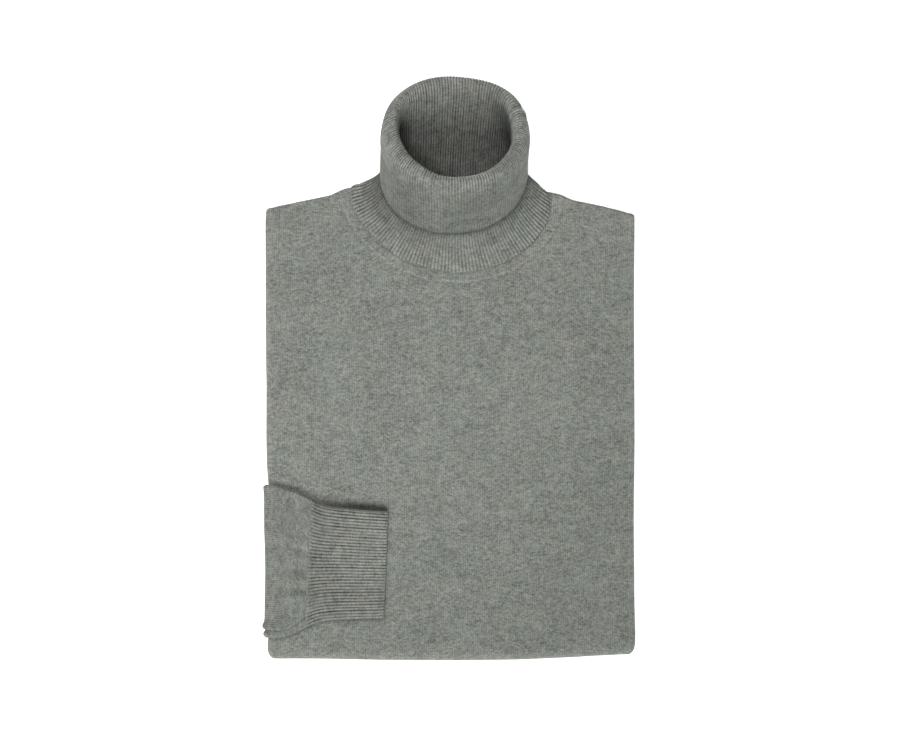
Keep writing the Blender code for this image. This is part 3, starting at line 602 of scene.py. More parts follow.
# Shadow on the body close to the sleeve and the cuff: values at two places, in x
SHADOW_WIDTH = (1.8, 4.4, -142.0, -112.0)
SHADOW_WIDER = (0.0, 1.2, -104.0, -84.0)
SHADOW_ABOVE = (-0.12, 0.32, -124.0, -102.0)
SHADOW_DEEPER = (0.0, 0.3, -106.0, -84.0)
SHADOW_BELOW = (0.14, 0.33, -108.0, -76.0)
SHADOW_OFF = 0.23           # its middle above the upper edge, as a share of its width
BELOW_PLACE = (0.5, 3.0)    # its middle and width below the lower edge
SHADOW_END = 3.0            # it ends this close to the cuff's end, on both sides of it
# Light beside the cuff's end: values at two places, in y, its middle and width, and its two ends
END_LIGHT = (0.14, 0.32, -205.0, -175.0)
END_PLACE = (0.8, 2.2)
END_FADES = ((-1.0, 3.0), (-6.0, -1.0))


def front_relief(x, y, from_neck):
    """Soft shapes on the flat of the front, above the stack's own height."""
    lift = ramp(from_neck, *NECK_DIP) + bells(from_neck, LINK_SHAPES)
    for centre, reach, turn, height in FRONT_FOLDS:
        lift = lift + height * hump(x, y, centre, reach, turn)
    drift = (ripple(x + DRIFT_SLANTS[0] * y, FRONT_SEEDS[0], DRIFT_WAVES[0])
             * ripple(y + DRIFT_SLANTS[1] * x, FRONT_SEEDS[1], DRIFT_WAVES[1]))
    return lift + DRIFT_HEIGHT * drift * (1.0 - hump(x, y, *DRIFT_CALM))


def painted_shadow_by_cuff(x, y):
    """Painted shadow on the body close to the sleeve's and the cuff's edges, less a painted light
    beside the cuff's end.
    """
    rows = np.concatenate((SLEEVE_ROWS, CUFF_ROWS[1:]))
    x_upper, x_lower, y_upper, y_lower = CUFF_ROWS[-1]
    above = y - np.interp(x, rows[:, 0], rows[:, 2])
    below = np.interp(x, rows[:, 1], rows[:, 3]) - y
    wide = ramp(x, *SHADOW_WIDTH) + ramp(x, *SHADOW_WIDER)
    over = (ramp(x, *SHADOW_ABOVE) + ramp(x, *SHADOW_DEEPER)) * bell(above, SHADOW_OFF * wide, wide)
    under = ramp(x, *SHADOW_BELOW) * bell(below, *BELOW_PLACE)
    shadow = (over + under) * smooth(x, x_upper + SHADOW_END, x_upper - SHADOW_END)
    end = np.interp(y, (y_lower, y_upper), (x_lower, x_upper))
    light = ramp(y, *END_LIGHT) * bell(x - end, *END_PLACE)
    first, last = END_FADES
    light = light * smooth(y, y_lower + first[0], y_lower + first[1])
    light = light * (1.0 - smooth(y, y_upper + last[0], y_upper + last[1]))
    return shadow - light


def front_painted_light_and_shade(x, y, from_neck):
    """How light the yarn looks on the flat of the front: painted light and shade."""
    tone = 1.0 + bells(from_neck, LINK_PAINTED_LIGHT_AND_SHADE)
    tone = tone * ramp(x - y, *SLANT_PAINTED_SHADE) * (1.0 - painted_shadow_by_cuff(x, y))
    for centre, reach, share in FRONT_PAINTED_LIGHT_AND_SHADE:
        tone = tone * (1.0 + share * hump(x, y, centre, reach))
    return tone


def front_neckline():
    """The front's neckline from right to left: close points, and even ones below the shoulders."""
    arc = np.linspace(2.0 * math.pi, math.pi, NECK_SAMPLES)
    close = neckline(arc)[:, :2]
    travelled = along_curve(close)
    wanted = np.linspace(0.0, travelled[-1], int(travelled[-1] / NECK_STEP) + 1)
    even = neckline(np.interp(wanted, travelled, arc))[:, :2]
    return close, even[even[:, 1] < shoulder_core(even[:, 0]) - NECK_SHORT_OF]


def neck_bands(neck):
    """Rows of points along the neckline, outwards from it."""
    turn = np.linspace(2.0 * math.pi, math.pi, len(neck))
    outward = np.stack((np.cos(turn), np.sin(turn)), axis=-1)
    tangent = np.gradient(neck, axis=0)
    normal = np.stack((tangent[:, 1], -tangent[:, 0]), axis=-1)
    normal /= np.linalg.norm(normal, axis=1, keepdims=True)
    normal *= np.sign((normal * outward).sum(axis=1))[:, None]
    return np.concatenate([neck + normal * away for away in NECK_BANDS])


def front_inner(neck, close):
    """Points inside the front's flat: a plain grid, and bands along the neckline."""
    columns, rows = (np.arange(*span, GRID) for span in GRID_SPAN)
    xs, ys = np.meshgrid(columns, rows)
    xs = xs + np.where(np.arange(len(rows)) % 2, GRID / 2, 0.0)[:, None]
    flat = np.stack((xs.ravel(), ys.ravel()), axis=-1)
    far = nearest(flat, close[::2]) > NECK_BANDS[-1] + GRID * BAND_ROOM
    inner = np.concatenate((flat[far], neck_bands(neck)))
    x, y = inner.T
    margin = GRID / 2
    inside = ((x > left_core(y) + margin) & (x < right_core(y) - margin)
              & (y > bottom_core(x) + margin) & (y < shoulder_core(x) - margin))
    across = across_neck(x, NECK_GAP)
    below_neck = y <= neckline(-np.arccos(across))[:, 1] - NECK_CLEAR
    return inner[inside & (below_neck | (np.abs(across) == 1.0))]


def triangulated(loop, inner):
    """Points and faces of a flat sheet, and which of them each point of its border became."""
    edges = [(at, (at + 1) % len(loop)) for at in range(len(loop))]
    points = [Vector(point) for point in np.concatenate((loop, inner))]
    verts, _edges, faces, sources, *_rest = delaunay_2d_cdt(points, edges, [], INSIDE_ONLY, MERGE)
    found = {number: at for at, source in enumerate(sources) for number in source}
    return np.array([(vert.x, vert.y) for vert in verts]), faces, found


def make_front():
    """The front's flat with its folds, and its edge turned under all round."""
    ends = [float(neckline(np.array([angle]))[0, 0]) + further
            for angle, further in zip((math.pi, 0.0), PAST_NECK)]
    around = body_border(GRID, CORNER_STEPS, ends)
    close, neck = front_neckline()
    loop, numbers = [], []
    for x, y, _heading in around:
        if not loop or math.dist(loop[-1], (x, y)) > APART:
            loop.append((x, y))
        numbers.append(len(loop) - 1)
    loop = np.concatenate((loop, neck))
    flat, faces, found = triangulated(loop, front_inner(neck, close))

    build = Cloth()
    x, y = flat.T
    from_neck = nearest(flat, close[::2])
    heights = stack_top(y) + front_relief(x, y, from_neck)
    for place, height, tone in zip(flat, heights, front_painted_light_and_shade(x, y, from_neck)):
        build.add((*place, height), place, 0.0, tone)
    build.faces += [list(corners) for corners in faces]

    corners = body_corners()
    strips = []
    for number, (_x, _y, heading) in zip(numbers, around):
        base = found[number]
        start = build.points[base]
        steps = [(out, start[2] + up)
                 for out, up in front_profile(start, corners, heading, EDGE_STEPS)]
        tone = build.tone[base] * float(np.interp(heading, HEADINGS, EDGE_PAINTED_LIGHT))
        strips.append(build.edge_strip(base, start, heading, steps, tone))
    build.join(strips)
    return give_wall(build.finish("front_cloth"))


# ---------------------------------------------------------------- back of the body

BACK_FACE = 5.8       # how far it lies below the front
BACK_FOOT = 66.0      # its hidden end
BACK_INSET = 1.0
BACK_REACH = 2.0      # how far it shows past the front along the shoulders
BACK_CORNERS = (20.0, 45.0)             # distance from its ends over which that grows
BACK_LIFT = (0.0, 1.8, 0.8, 0.97)       # its rise, by the share of the way to its far edge
BACK_COLUMNS = 90
BACK_ROWS = 34
NECK_END = 0.99       # a place this far across the neckline belongs to the shoulder


def make_back():
    """Strip of the back that shows behind the shoulders."""
    left, right = float(left_core(TOP_CORNER)), float(right_core(TOP_CORNER))
    xs = mix(left + BACK_INSET, right - BACK_INSET, np.linspace(0.0, 1.0, BACK_COLUMNS))
    across = across_neck(xs)
    edge = ring_points(RINGS[0], np.arccos(across))[:, 1] - NECK_GAP
    reach = BACK_REACH * smooth(np.minimum(xs - xs[0], xs[-1] - xs), *BACK_CORNERS)
    top = shoulder_core(xs) + reach
    top = np.where(np.abs(across) < NECK_END, np.minimum(top, edge), top)
    rows = []
    for part in np.linspace(0.0, 1.0, BACK_ROWS):
        y = mix(BACK_FOOT, top, part)
        rows.append(np.stack((xs, y, stack_top(y) - BACK_FACE + ramp(part, *BACK_LIFT)), axis=-1))
    rows = np.array(rows)
    build = Cloth()
    ids = build.add_rows(rows, rows[..., :2], np.zeros(rows.shape[:2]))
    build.grid(ids[:, ::-1])
    return give_wall(build.finish("back_cloth"))


# ---------------------------------------------------------------- hidden layers

LAYERS_UNDER_BACK = 6.4           # their top below the stack's, where the back lies on them
LAYERS_STEP = (46.0, 56.0)
LAYERS_SHORT = 1.0                # behind the shoulders' edge
NECK_SHORT = 6.0                  # behind the middle of the open neck, and how much less
NECK_BOW = 10.0                   # at its ends
POCKET_HEIGHT = 6.0               # space in the left side that the sleeve comes out of
POCKET_DEPTH = 5.0
POCKET_FADE = ((-251.0, -243.0), (-98.0, -88.0))
UPPER_REACH = (2.6, 4.4, 6.4)     # at a shoulder, at a side and at the bottom
GROOVE_OUT = (0.3, 1.0, 2.2)
LOWER_REACH = (2.5, 6.3, 2.8)
CORNER_ROOM = 0.8
SIDE_GROOVE = -2.0                # the groove's depth along a side
UPPER_SQUASH = 0.1                # how much closer the upper fold lies to the front's edge
GROOVE_DROP = 0.8                 # from the upper fold down to the groove
GROOVE_RISE = 0.4                 # less of it along the bottom
LOWER_DROP = 0.4                  # from the groove down to the lower fold
LOWER_RISE = 1.6                  # the lower fold's rise along the bottom

# Steps round a fold, and its first and last turn. The lower fold shows as two where it is high, with
# a crease between them: both ways have as many steps.
UPPER_LOBE = (8, 20.0, 150.0)
LOWER_LOBE = (19, 9.0, 171.0)
SPLIT_LOBE = (9, 15.0, 165.0)
SPLIT_FROM = 5.0
SPLIT_PLACE = (0.52, 0.12)        # share of its height, and how much a wave shifts it
SPLIT_GAP = 0.15
SPLIT_OUT = 0.4
SPLIT_SHORT = (0.6, 0.3)          # how much less the upper and the lower one reach out
SPLIT_WAVE = 0.25
SPLIT_WAVES = (70.0, 41.0)

LAYERS_COLUMNS = 61
LAYERS_LEVELS = 79
CORNER_TURNS = 7
NECK_SWING = (0.2, 0.8)           # part of the top edge over which one shoulder's heading changes
HOLLOW_INSET = 5.0                # thickness of the shell's sides
HOLLOW_STEP = 2                   # each second column and level bounds the room inside


def layers_top(y):
    return stack_top(y) - ramp(y, WALL + NEST, LAYERS_UNDER_BACK, *LAYERS_STEP)


def layers_end(x):
    """Far edge of the hidden layers: behind the shoulders, and short of the open neck."""
    dip = RINGS[0, Y_BACK] - NECK_SHORT + NECK_BOW * across_neck(x) ** 2
    return np.minimum(shoulder_core(x) - LAYERS_SHORT, dip)


def sleeve_room(x, y):
    """1 along the stretch of the left side where the sleeve comes out, else 0."""
    if x > 0.0:
        return 0.0
    return float((1.0 - smooth(y, *POCKET_FADE[1])) * smooth(y, *POCKET_FADE[0]))


def lobe(out_base, reach, high, low, steps, first, last):
    """Steps round one rounded fold, from its first to its last turn."""
    found = []
    for turn in np.linspace(first, last, steps):
        out, up = rounded(reach, high - low, turn)
        found.append((out_base + out, high + up))
    return found


def layered_profile(x, y, heading, corner, corners):
    """Steps down the edge of the hidden layers: (out, height)."""
    shoulder, side, bottom = fold_shares((x, y), corners, heading)
    on_side = heading in (HEADINGS[1], HEADINGS[3]) and not corner
    room = sleeve_room(x, y) if on_side else 0.0
    groove = (shoulder + side) * float(groove_height(y))
    upper_top = float(layers_top(y))
    upper_low = groove + WALL + NEST - UPPER_SQUASH
    lower_top = groove - LOWER_DROP + LOWER_RISE * bottom - POCKET_HEIGHT * room
    groove_out = SIDE_GROOVE - POCKET_DEPTH * room if on_side else shared(GROOVE_OUT, heading)
    lower_base = max(groove_out, 0.0)
    side_reach = ramp(float(y), UPPER_REACH[1], UPPER_REACH[0], *LAYERS_STEP)
    upper_reach = shared((UPPER_REACH[0], side_reach, UPPER_REACH[2]), heading)
    upper_reach -= CORNER_ROOM if corner else 0.0
    lower_reach = shared(LOWER_REACH, heading) - lower_base
    profile = lobe(0.0, upper_reach, upper_top, upper_low, *UPPER_LOBE)
    profile.append((groove_out, upper_low - GROOVE_DROP + GROOVE_RISE * bottom))
    profile.append((groove_out, lower_top))
    if lower_top <= SPLIT_FROM:
        return profile + lobe(lower_base, lower_reach, lower_top, 0.0, *LOWER_LOBE)
    wave = SPLIT_WAVE * float(ripple(y if on_side else x, LAYERS_SEED, SPLIT_WAVES))
    split = lower_top * (SPLIT_PLACE[0] + SPLIT_PLACE[1] * wave)
    reaches = lower_reach - SPLIT_SHORT[0] + wave, lower_reach - SPLIT_SHORT[1] - wave
    profile += lobe(lower_base, reaches[0], lower_top, split + SPLIT_GAP, *SPLIT_LOBE)
    profile.append((lower_base + SPLIT_OUT, split))
    return profile + lobe(lower_base, reaches[1], split - SPLIT_GAP, 0.0, *SPLIT_LOBE)


def layers_border(last_row, last_column):
    """The edge of the layers' grid: (row, column, heading, whether it is a turn at a corner)."""
    rows, columns = range(1, last_row), range(1, last_column)
    around = []
    for column in reversed(columns):
        swing = float(smooth(column / last_column, *NECK_SWING))
        around.append((last_row, column, mix(HEADINGS[0], HEADINGS[4] - 360.0, swing), False))
    stretches = (
        ((last_row, 0), [(row, 0) for row in reversed(rows)]),
        ((0, 0), [(0, column) for column in columns]),
        ((0, last_column), [(row, last_column) for row in rows]),
        ((last_row, last_column), []),
    )
    for number, (corner, edge) in enumerate(stretches):
        for share in np.linspace(0.0, 1.0, CORNER_TURNS):
            around.append((*corner, mix(HEADINGS[number], HEADINGS[number + 1], share), True))
        around += [(*place, HEADINGS[number + 1], False) for place in edge]
    return around


def layers_grid(columns, levels, inset, height_at):
    """A grid over the layers' flat, inset from its edge, at a height."""
    at = mix(float(left_core(TOP_CORNER)), float(right_core(TOP_CORNER)), columns)
    rows = []
    for level in levels:
        y = mix(bottom_core(at) + inset, layers_end(at) - inset, level)
        x = mix(left_core(y) + inset, right_core(y) - inset, columns)
        rows.append(np.stack((x, y, height_at(y)), axis=-1))
    return np.array(rows)


def add_top_and_floor(build, top, floor_height):
    """Vertices of a grid and of a level one below it, with the same knit coordinates."""
    floor = top.copy()
    floor[..., 2] = floor_height
    plain = np.zeros(top.shape[:2])
    return (build.add_rows(top, top[..., :2], plain), build.add_rows(floor, top[..., :2], plain))


def make_layers():
    """The layers folded inside and behind, as one shell that is flat underneath."""
    corners = body_corners()
    build = Cloth()
    columns = np.linspace(0.0, 1.0, LAYERS_COLUMNS)
    levels = np.linspace(0.0, 1.0, LAYERS_LEVELS)
    rows = layers_grid(columns, levels, 0.0, layers_top)
    top_ids, floor_ids = add_top_and_floor(build, rows, 0.0)
    build.grid(top_ids)
    build.grid(floor_ids[:, ::-1])
    strips = []
    for row, column, heading, corner in layers_border(len(levels) - 1, len(columns) - 1):
        start = rows[row, column]
        steps = layered_profile(*start[:2], heading, corner, corners)
        strip = build.edge_strip(top_ids[row, column], start, heading, steps)
        strips.append(strip + [int(floor_ids[row, column])])
    build.join(strips, closed=True)
    add_hollow(build, columns[::HOLLOW_STEP], levels[::HOLLOW_STEP])
    return build.finish("hidden_layers_cloth")


def add_hollow(build, columns, levels):
    """The room inside the hidden layers' shell."""
    top = layers_grid(columns, levels, HOLLOW_INSET, lambda y: layers_top(y) - WALL)
    top_ids, floor_ids = add_top_and_floor(build, top, WALL)
    build.grid(top_ids[:, ::-1])
    build.grid(floor_ids)
    rims = [np.concatenate((ids[0, :-1], ids[:-1, -1], ids[-1, :0:-1], ids[:0:-1, 0]))
            for ids in (top_ids, floor_ids)]
    build.grid(np.array(rims), closed=True)


# ---------------------------------------------------------------- sleeve and cuff

SLEEVE_TAIL_LENGTH = 5.0     # how far the sleeve goes on below the left edge
SLEEVE_TAIL_SHORT = 1.0
TAIL_ALONG = -190.0          # knit coordinate of its hidden end
ROLL_ALONG = (-154.0, -0.12)     # and round the side: at its top, and for each degree of the turn
ROLL_STEPS = 28
SLEEVE_STATIONS = 22
CUFF_STATIONS = 34
SLEEVE_POINTS = (200, 50)    # points across, on top and under
CUFF_POINTS = (9 * CUFF_RIBS, 60)
UNDER_KNIT = 200.0           # knit coordinates of the underside and the inside
INSIDE_KNIT = 100.0
SLEEVE_PAINTED_SHADE = (0.612, 0.9, -172.0, -151.0)    # painted shade, darker round the side where the sleeve turns over the body's edge
CUFF_TONE = (0.8, 1.03, 0.1, 0.8)             # lighter towards its end
CUFF_LOWER_PAINTED_SHADE = (0.0, 0.11, 0.5, 0.8)       # painted shade at its end, in its lower half
CUFF_END_PAINTED_LIGHT = (0.0, 0.16, 0.88, 0.98)       # and painted light there in its upper half
CUFF_UPPER = (0.4, 0.75)
PAINTED_LIGHT_TONE = 1.25                               # painted light: a lighter tone for the last row and the inside, which get little light
CUFF_RIBS_START = (0.0, 0.14)                 # its ribs grow over this share of its length

# Short wrinkles where the sleeve narrows to its cuff: distance from the upper edge at their middle,
# x of their middle, reach along and across, slope and height
SLEEVE_WRINKLES = (
    (29.0, -134.0, 9.0, 2.4, 0.10, 0.5), (41.0, -136.0, 12.0, 3.0, 0.06, 0.55),
    (50.0, -134.0, 9.0, 2.6, 0.0, -0.55), (58.0, -136.0, 12.0, 3.0, 0.02, 0.75),
    (68.0, -135.0, 11.0, 2.8, -0.03, -0.75), (77.5, -136.0, 13.0, 3.2, -0.10, 1.0),
    (86.0, -134.0, 11.0, 3.0, -0.12, -0.8), (93.0, -137.0, 12.0, 3.0, -0.15, 0.7),
    (16.0, -133.0, 7.0, 2.4, 0.15, 0.35), (102.0, -139.0, 9.0, 2.8, -0.2, -0.35),
)

# The same for the cuff, whose ribs rise and fall a little
CUFF_FOLDS = (
    (22.0, -108.0, 12.0, 9.0, 0.1, 0.5), (40.0, -112.0, 12.0, 7.0, 0.0, -0.75),
    (24.0, -74.0, 26.0, 6.0, 0.0, -0.3), (52.0, -92.0, 20.0, 8.0, 0.0, 0.3),
    (70.0, -88.0, 30.0, 9.0, 0.05, -0.75), (58.0, -64.0, 10.0, 8.0, 0.0, 0.25),
    (77.0, -60.0, 8.0, 6.0, 0.0, -0.5),
)
SLEEVE_WIDTH = 125.0         # width that the wrinkles' distances are from
CUFF_WIDTH = 97.0
WRINKLE_DEPTH = 1.7
WRINKLE_FADES = ((0.02, 0.1), (0.84, 0.93))       # they fade at these shares of the width

# The sleeve's low waves, the dent along its turn over the side, and the doubled folds at its edge
SLEEVE_WAVES = (23.0, 37.0)
SLEEVE_WAVE = 0.2
SLEEVE_WAVE_SLANT = 40.0
SIDE_DENT = ((-158.6, 1.3, -0.55),)
EDGE_BULGES = ((0.921, 0.022, 1.5), (0.972, 0.014, 1.1))
BULGE_END = (-160.0, -150.0)


def beside_panel(x, y):
    """A place on top of the front, and which way is up from it."""
    return np.array((x, y, float(stack_top(y)))), np.array((0.0, 0.0, 1.0))


def round_left_edge(turn, y):
    """The same round the left side, at a turn in degrees."""
    drop = float(stack_top(y) - groove_height(y))
    out, up = rounded(SIDE_REACH, drop, turn)
    angle = math.radians(turn)
    normal = np.array((-math.sin(angle) * drop / 2, 0.0, math.cos(angle) * SIDE_REACH))
    point = np.array((float(left_core(y)) - out, y, float(stack_top(y)) + up))
    return point, normal / np.linalg.norm(normal)


def under_left_edge(inset, y):
    """The same below the left side, in the groove."""
    return (np.array((float(left_core(y)) + inset, y, float(groove_height(y)))),
            np.array((0.0, 0.0, -1.0)))


def layer_height(edge, height):
    """Height of a flat layer with round edges, at a distance from its edge."""
    inward = np.clip(edge / TUBE_ROUND, 0.0, 1.0)
    return height * np.sqrt(1.0 - (1.0 - inward) ** 2)


def tube_height(v, width, lower_layer, overlap):
    """Height across a flat tube whose lower layer shows past the upper one."""
    upper = layer_height(np.minimum(v, width - lower_layer - v), TUBE_HEIGHT)
    under = v - width + lower_layer + overlap
    lower = layer_height(np.minimum(under, width - v), LOWER_HEIGHT)
    return np.maximum(upper, lower)


def rib_valley(phase, valley_width):
    """How deep in the valley between two ribs a place is, from 0 to 1."""
    return bell(np.abs((phase + 0.5) % 1.0 - 0.5), 0.0, valley_width)


def rib_lift(valley):
    """How far a rib lifts the cloth, from its valley up to its crest."""
    crest, fall = RIB_DEPTHS
    return (crest - fall * valley) * RIB_RELIEF / 2


def uneven_ribs(at, along, count, seed):
    """How deep each rib's valley is, changing from rib to rib and a little along each."""
    chance = np.random.RandomState(seed)
    depth = chance.uniform(*RIB_TUNE, count)
    phase = chance.uniform(0.0, 2.0 * math.pi, count)
    length = chance.uniform(*RIB_WAVES, count)
    rib = np.round(at).astype(int) % count
    return depth[rib] + RIB_WAVE * np.sin(2.0 * math.pi * along / length[rib] + phase[rib])


def cuff_valleys(shares, along, from_start):
    """How deep in a valley between the cuff's ribs each place across it is."""
    at = shares * CUFF_RIBS
    valley = rib_valley(at, RIB_VALLEY) * uneven_ribs(at, along, CUFF_RIBS, CUFF_SEED)
    return valley * smooth(from_start, *CUFF_RIBS_START)


def cuff_tone_and_painted_light(shares, from_start):
    """How light the yarn looks across the cuff: lighter towards its end, with painted shade at the
    end's lower half and painted light at its upper half.
    """
    lower = ramp(shares, *CUFF_LOWER_PAINTED_SHADE) * from_start
    upper = ramp(from_start, *CUFF_END_PAINTED_LIGHT) * (1.0 - smooth(shares, *CUFF_UPPER))
    return ramp(from_start, *CUFF_TONE) * (1.0 - lower) * (1.0 + upper)


def tube_slit(width, shares, above):
    """Places across the slit in a flat tube, from its upper edge, and their heights."""
    near, far = TUBE_ROUND, width - SLIT_FAR
    v = mix(near, far, shares)
    steps = [width - step for step in SLIT_STEP]
    roof = np.interp(v, (near, near + SLIT_TAPER, *steps, far), SLIT_ROOF)
    floor = np.interp(v, (near, near + SLIT_TAPER, width - SLIT_FLOOR_END, far), SLIT_FLOOR)
    return v, TUBE_BASE + WALL * SLIT_WALL + np.where(above, roof, floor)


def lifted_points(surface, parts, ys, lift):
    """Points in a row across a tube, lifted off what it lies on."""
    points = []
    for part, y, up in zip(parts, ys, lift):
        point, normal = surface(part, y)
        points.append(point + normal * (SEAM + up))
    return np.array(points)


def make_tube(name, stations, counts, section_of):
    """A flattened tube of cloth; counts are its points across on top and under.

    Each station is (place along, y upper, y lower, how far its lower layer shows, surface), where
    surface gives a place on what the tube lies on, and the way up from it. section_of gives what
    is the tube's own across its top there: height, valleys, tone and knit coordinate.
    """
    on_top, under = counts
    shares = np.concatenate(((np.arange(on_top) + 0.5) / on_top,
                             np.linspace(1.0, 0.0, under + 2)[1:-1]))
    above = np.arange(len(shares)) < on_top
    build = Cloth()
    outer, inner = [], []
    for number, (along, y_upper, y_lower, lower_layer, surface) in enumerate(stations):
        width = y_upper - y_lower
        from_start = number / (len(stations) - 1)
        v = shares * width
        edge = np.minimum(v, width - v)
        pressed = smooth(edge, TUBE_FLAT_RIB, TUBE_ROUND)
        height, valley, tone, across = section_of(along, from_start, shares, width, lower_layer,
                                                  pressed)
        lifted = TUBE_EDGE_LIFT * (1.0 - smooth(edge, 0.0, TUBE_EDGE_LIFT_END))
        height = TUBE_BASE + np.where(above, height, lifted)
        across = across + np.where(above, 0.0, UNDER_KNIT)
        shade = np.where(above, valley * pressed, 0.0)
        # painted light on the last row, which gets little light
        tone = tone * (PAINTED_LIGHT_TONE if number == len(stations) - 1 else 1.0)
        points = lifted_points(surface, shares, y_upper - v, height)
        knit = np.stack(np.broadcast_arrays(across, along), axis=-1)
        outer.append(build.add_rows(points, knit, shade, tone))

        slit, slit_height = tube_slit(width, shares, above)
        points = lifted_points(surface, slit / width, y_upper - slit, slit_height)
        knit = np.stack(np.broadcast_arrays(shares * INSIDE_KNIT, along), axis=-1)
        # painted light on the inside, which gets little light
        inner.append(build.add_rows(points, knit, np.zeros(len(shares)), PAINTED_LIGHT_TONE))
    build.shell(np.array(outer), np.array(inner))
    return build.finish(name)


def flat_stations(rows, count):
    """Stations of a tube that lies on the front, through a table's crossings."""
    places = np.linspace(0.0, 1.0, len(rows))
    stations = []
    for share in np.linspace(0.0, 1.0, count):
        x_upper, x_lower, y_upper, y_lower = (float(through(share, places, field))
                                              for field in rows.T)

        def surface(part, y, x_upper=x_upper, x_lower=x_lower):
            return beside_panel(mix(x_upper, x_lower, part), y)

        middle = (x_upper + x_lower) / 2
        lower_layer = float(np.interp(middle, *zip(*LOWER_LAYER)))
        stations.append((middle, y_upper, y_lower, lower_layer, surface))
    return stations


def wrinkled(along, shares, width, wrinkles):
    """Height of some short wrinkles across a flat tube."""
    away = shares * width
    total = np.zeros(len(shares))
    for middle, x, reach, wide, slope, height in wrinkles:
        off = away - middle + slope * (along - x)
        total += height * bell(along, x, reach) * bell(off, 0.0, wide)
    first, last = WRINKLE_FADES
    return WRINKLE_DEPTH * total * smooth(shares, *first) * (1.0 - smooth(shares, *last))


def sleeve_relief(along, shares):
    """Short soft wrinkles across the sleeve, and a dent along its turn over the body's edge."""
    waves = SLEEVE_WAVE * ripple(along + SLEEVE_WAVE_SLANT * shares, SLEEVE_SEED, SLEEVE_WAVES)
    bulge = bells(shares, EDGE_BULGES) * (1.0 - smooth(along, *BULGE_END))
    return (wrinkled(along, shares, SLEEVE_WIDTH, SLEEVE_WRINKLES) + bulge
            + (waves + bells(along, SIDE_DENT)) * smooth(shares, *WRINKLE_FADES[0]))


def sleeve_section(along, from_start, shares, width, lower_layer, _pressed):
    """Height, valleys, tone and knit coordinate across the top of the plain sleeve."""
    height = tube_height(shares * width, width, lower_layer, SLEEVE_OVERLAP)
    height = ramp(along, *SLEEVE_THINNING) * height - ramp(from_start, *LAP_DROP)
    tone = np.full(len(shares), ramp(along, *SLEEVE_PAINTED_SHADE))
    return height + sleeve_relief(along, shares), np.zeros(len(shares)), tone, shares * width


def cuff_section(along, from_start, shares, width, lower_layer, pressed):
    """The same for the ribbed cuff."""
    valley = cuff_valleys(shares, along, from_start)
    height = tube_height(shares * width, width, lower_layer, CUFF_OVERLAP)
    height = ramp(from_start, *CUFF_THINNING) * height + rib_lift(valley) * pressed
    height = height + wrinkled(along, shares, CUFF_WIDTH, CUFF_FOLDS)
    return height, valley, cuff_tone_and_painted_light(shares, from_start), shares * CUFF_RIBS * RIB_PITCH


def make_sleeve():
    """The sleeve's last stretch: out of the groove, round the left side and on to the front."""
    lower_layer = LOWER_LAYER[0][1]

    def tail(_part, y):
        return under_left_edge(SLEEVE_TAIL_LENGTH, y)

    stations = [(TAIL_ALONG, SLEEVE_EDGE[0] - SLEEVE_TAIL_SHORT, SLEEVE_EDGE[1] + SLEEVE_TAIL_SHORT,
                 lower_layer, tail)]
    for turn in np.linspace(180.0, 0.0, ROLL_STEPS + 1):

        def roll(_part, y, turn=turn):
            return round_left_edge(turn, y)

        along = ROLL_ALONG[0] + ROLL_ALONG[1] * turn
        stations.append((along, *SLEEVE_EDGE, lower_layer, roll))
    stations += flat_stations(SLEEVE_ROWS, SLEEVE_STATIONS)[1:]
    return make_tube("sleeve_cloth", stations, SLEEVE_POINTS, sleeve_section)


def make_cuff():
    """The cuff, which lies on the front and laps over the sleeve's end."""
    stations = flat_stations(CUFF_ROWS, CUFF_STATIONS)
    return make_tube("cuff_cloth", stations, CUFF_POINTS, cuff_section)


# ---------------------------------------------------------------- collar

PLACE_SAMPLES = 72    # places round a ring that measure the way to the next ring
NORMAL_STEP = 0.6     # how far apart two rings that give the wall's normals are, halved

# How high the ribs stand along the collar, on the stand's outside and on its inside: place by the
# number of the ring, and share of the full relief
OUTSIDE_RIBS = ((0.0, 1.15), (0.6, 0.95), (1.2, 0.65), (2.2, 0.45), (4.0, 0.2), (12.0, 0.2))
INSIDE_RIBS = ((0.0, 0.2), (2.0, 0.9), (5.0, 1.1), (7.0, 1.1), (8.5, 0.95), (9.5, 0.4),
               (10.5, 0.2), (12.0, 0.16))
SIDE_RIBS = (0.72, 1.35, 1.0, 1.5)        # outside: at the front, the left and the right; sharpness

# The collar's edge at the neckline, which laps over the body and ends unevenly
EDGE_LAP = 1.4
EDGE_RIBS = (0.4, 1.0, -EDGE_LAP, 1.0)
EDGE_THIN = (0.45, 1.0, -EDGE_LAP, 4.0)
EDGE_LIFT = (0.15, 0.0, -EDGE_LAP, 5.0)
EDGE_SHORTER = (0.0, 0.6)     # range of how much shorter a rib is, and the valleys
VALLEY_SHORTER = 0.7
RIM = 0.8                     # the last two rows of points are this far apart
# Rows of points: from one ring to another, and the step between them
OUTSIDE_ROWS = ((0, 3, 2.4), (3, 12, 9.0))
INSIDE_ROWS = ((0, 2, 9.0), (2, 6, 3.2), (6, 9, 1.4), (9, 12, 2.8))

# The collar's own seam, counted in ribs from its right side: places beside it, width, height or tone.
# The tones are a painted highlight on its ridge and painted shade in the groove beside it
SEAM_RIB = 6.5
SEAM_SHAPES = ((0.0, 0.8, 0.5), (1.6, 0.7, -0.4))
SEAM_PAINTED_LIGHT_AND_SHADE = ((0.0, 0.5, 0.14), (1.5, 0.5, -0.34))
SEAM_FROM = ((4.0, 5.5), (5.0, 6.0))      # rings between which it begins

LUMP_HEIGHT = 0.12
LUMP_DRIFT = 0.2
LUMP_WAVES = ((4, 0.4), (6, 2.3), (8, 4.1))      # waves in one turn, and phase
LUMPS_FROM = (8.0, 30.0)

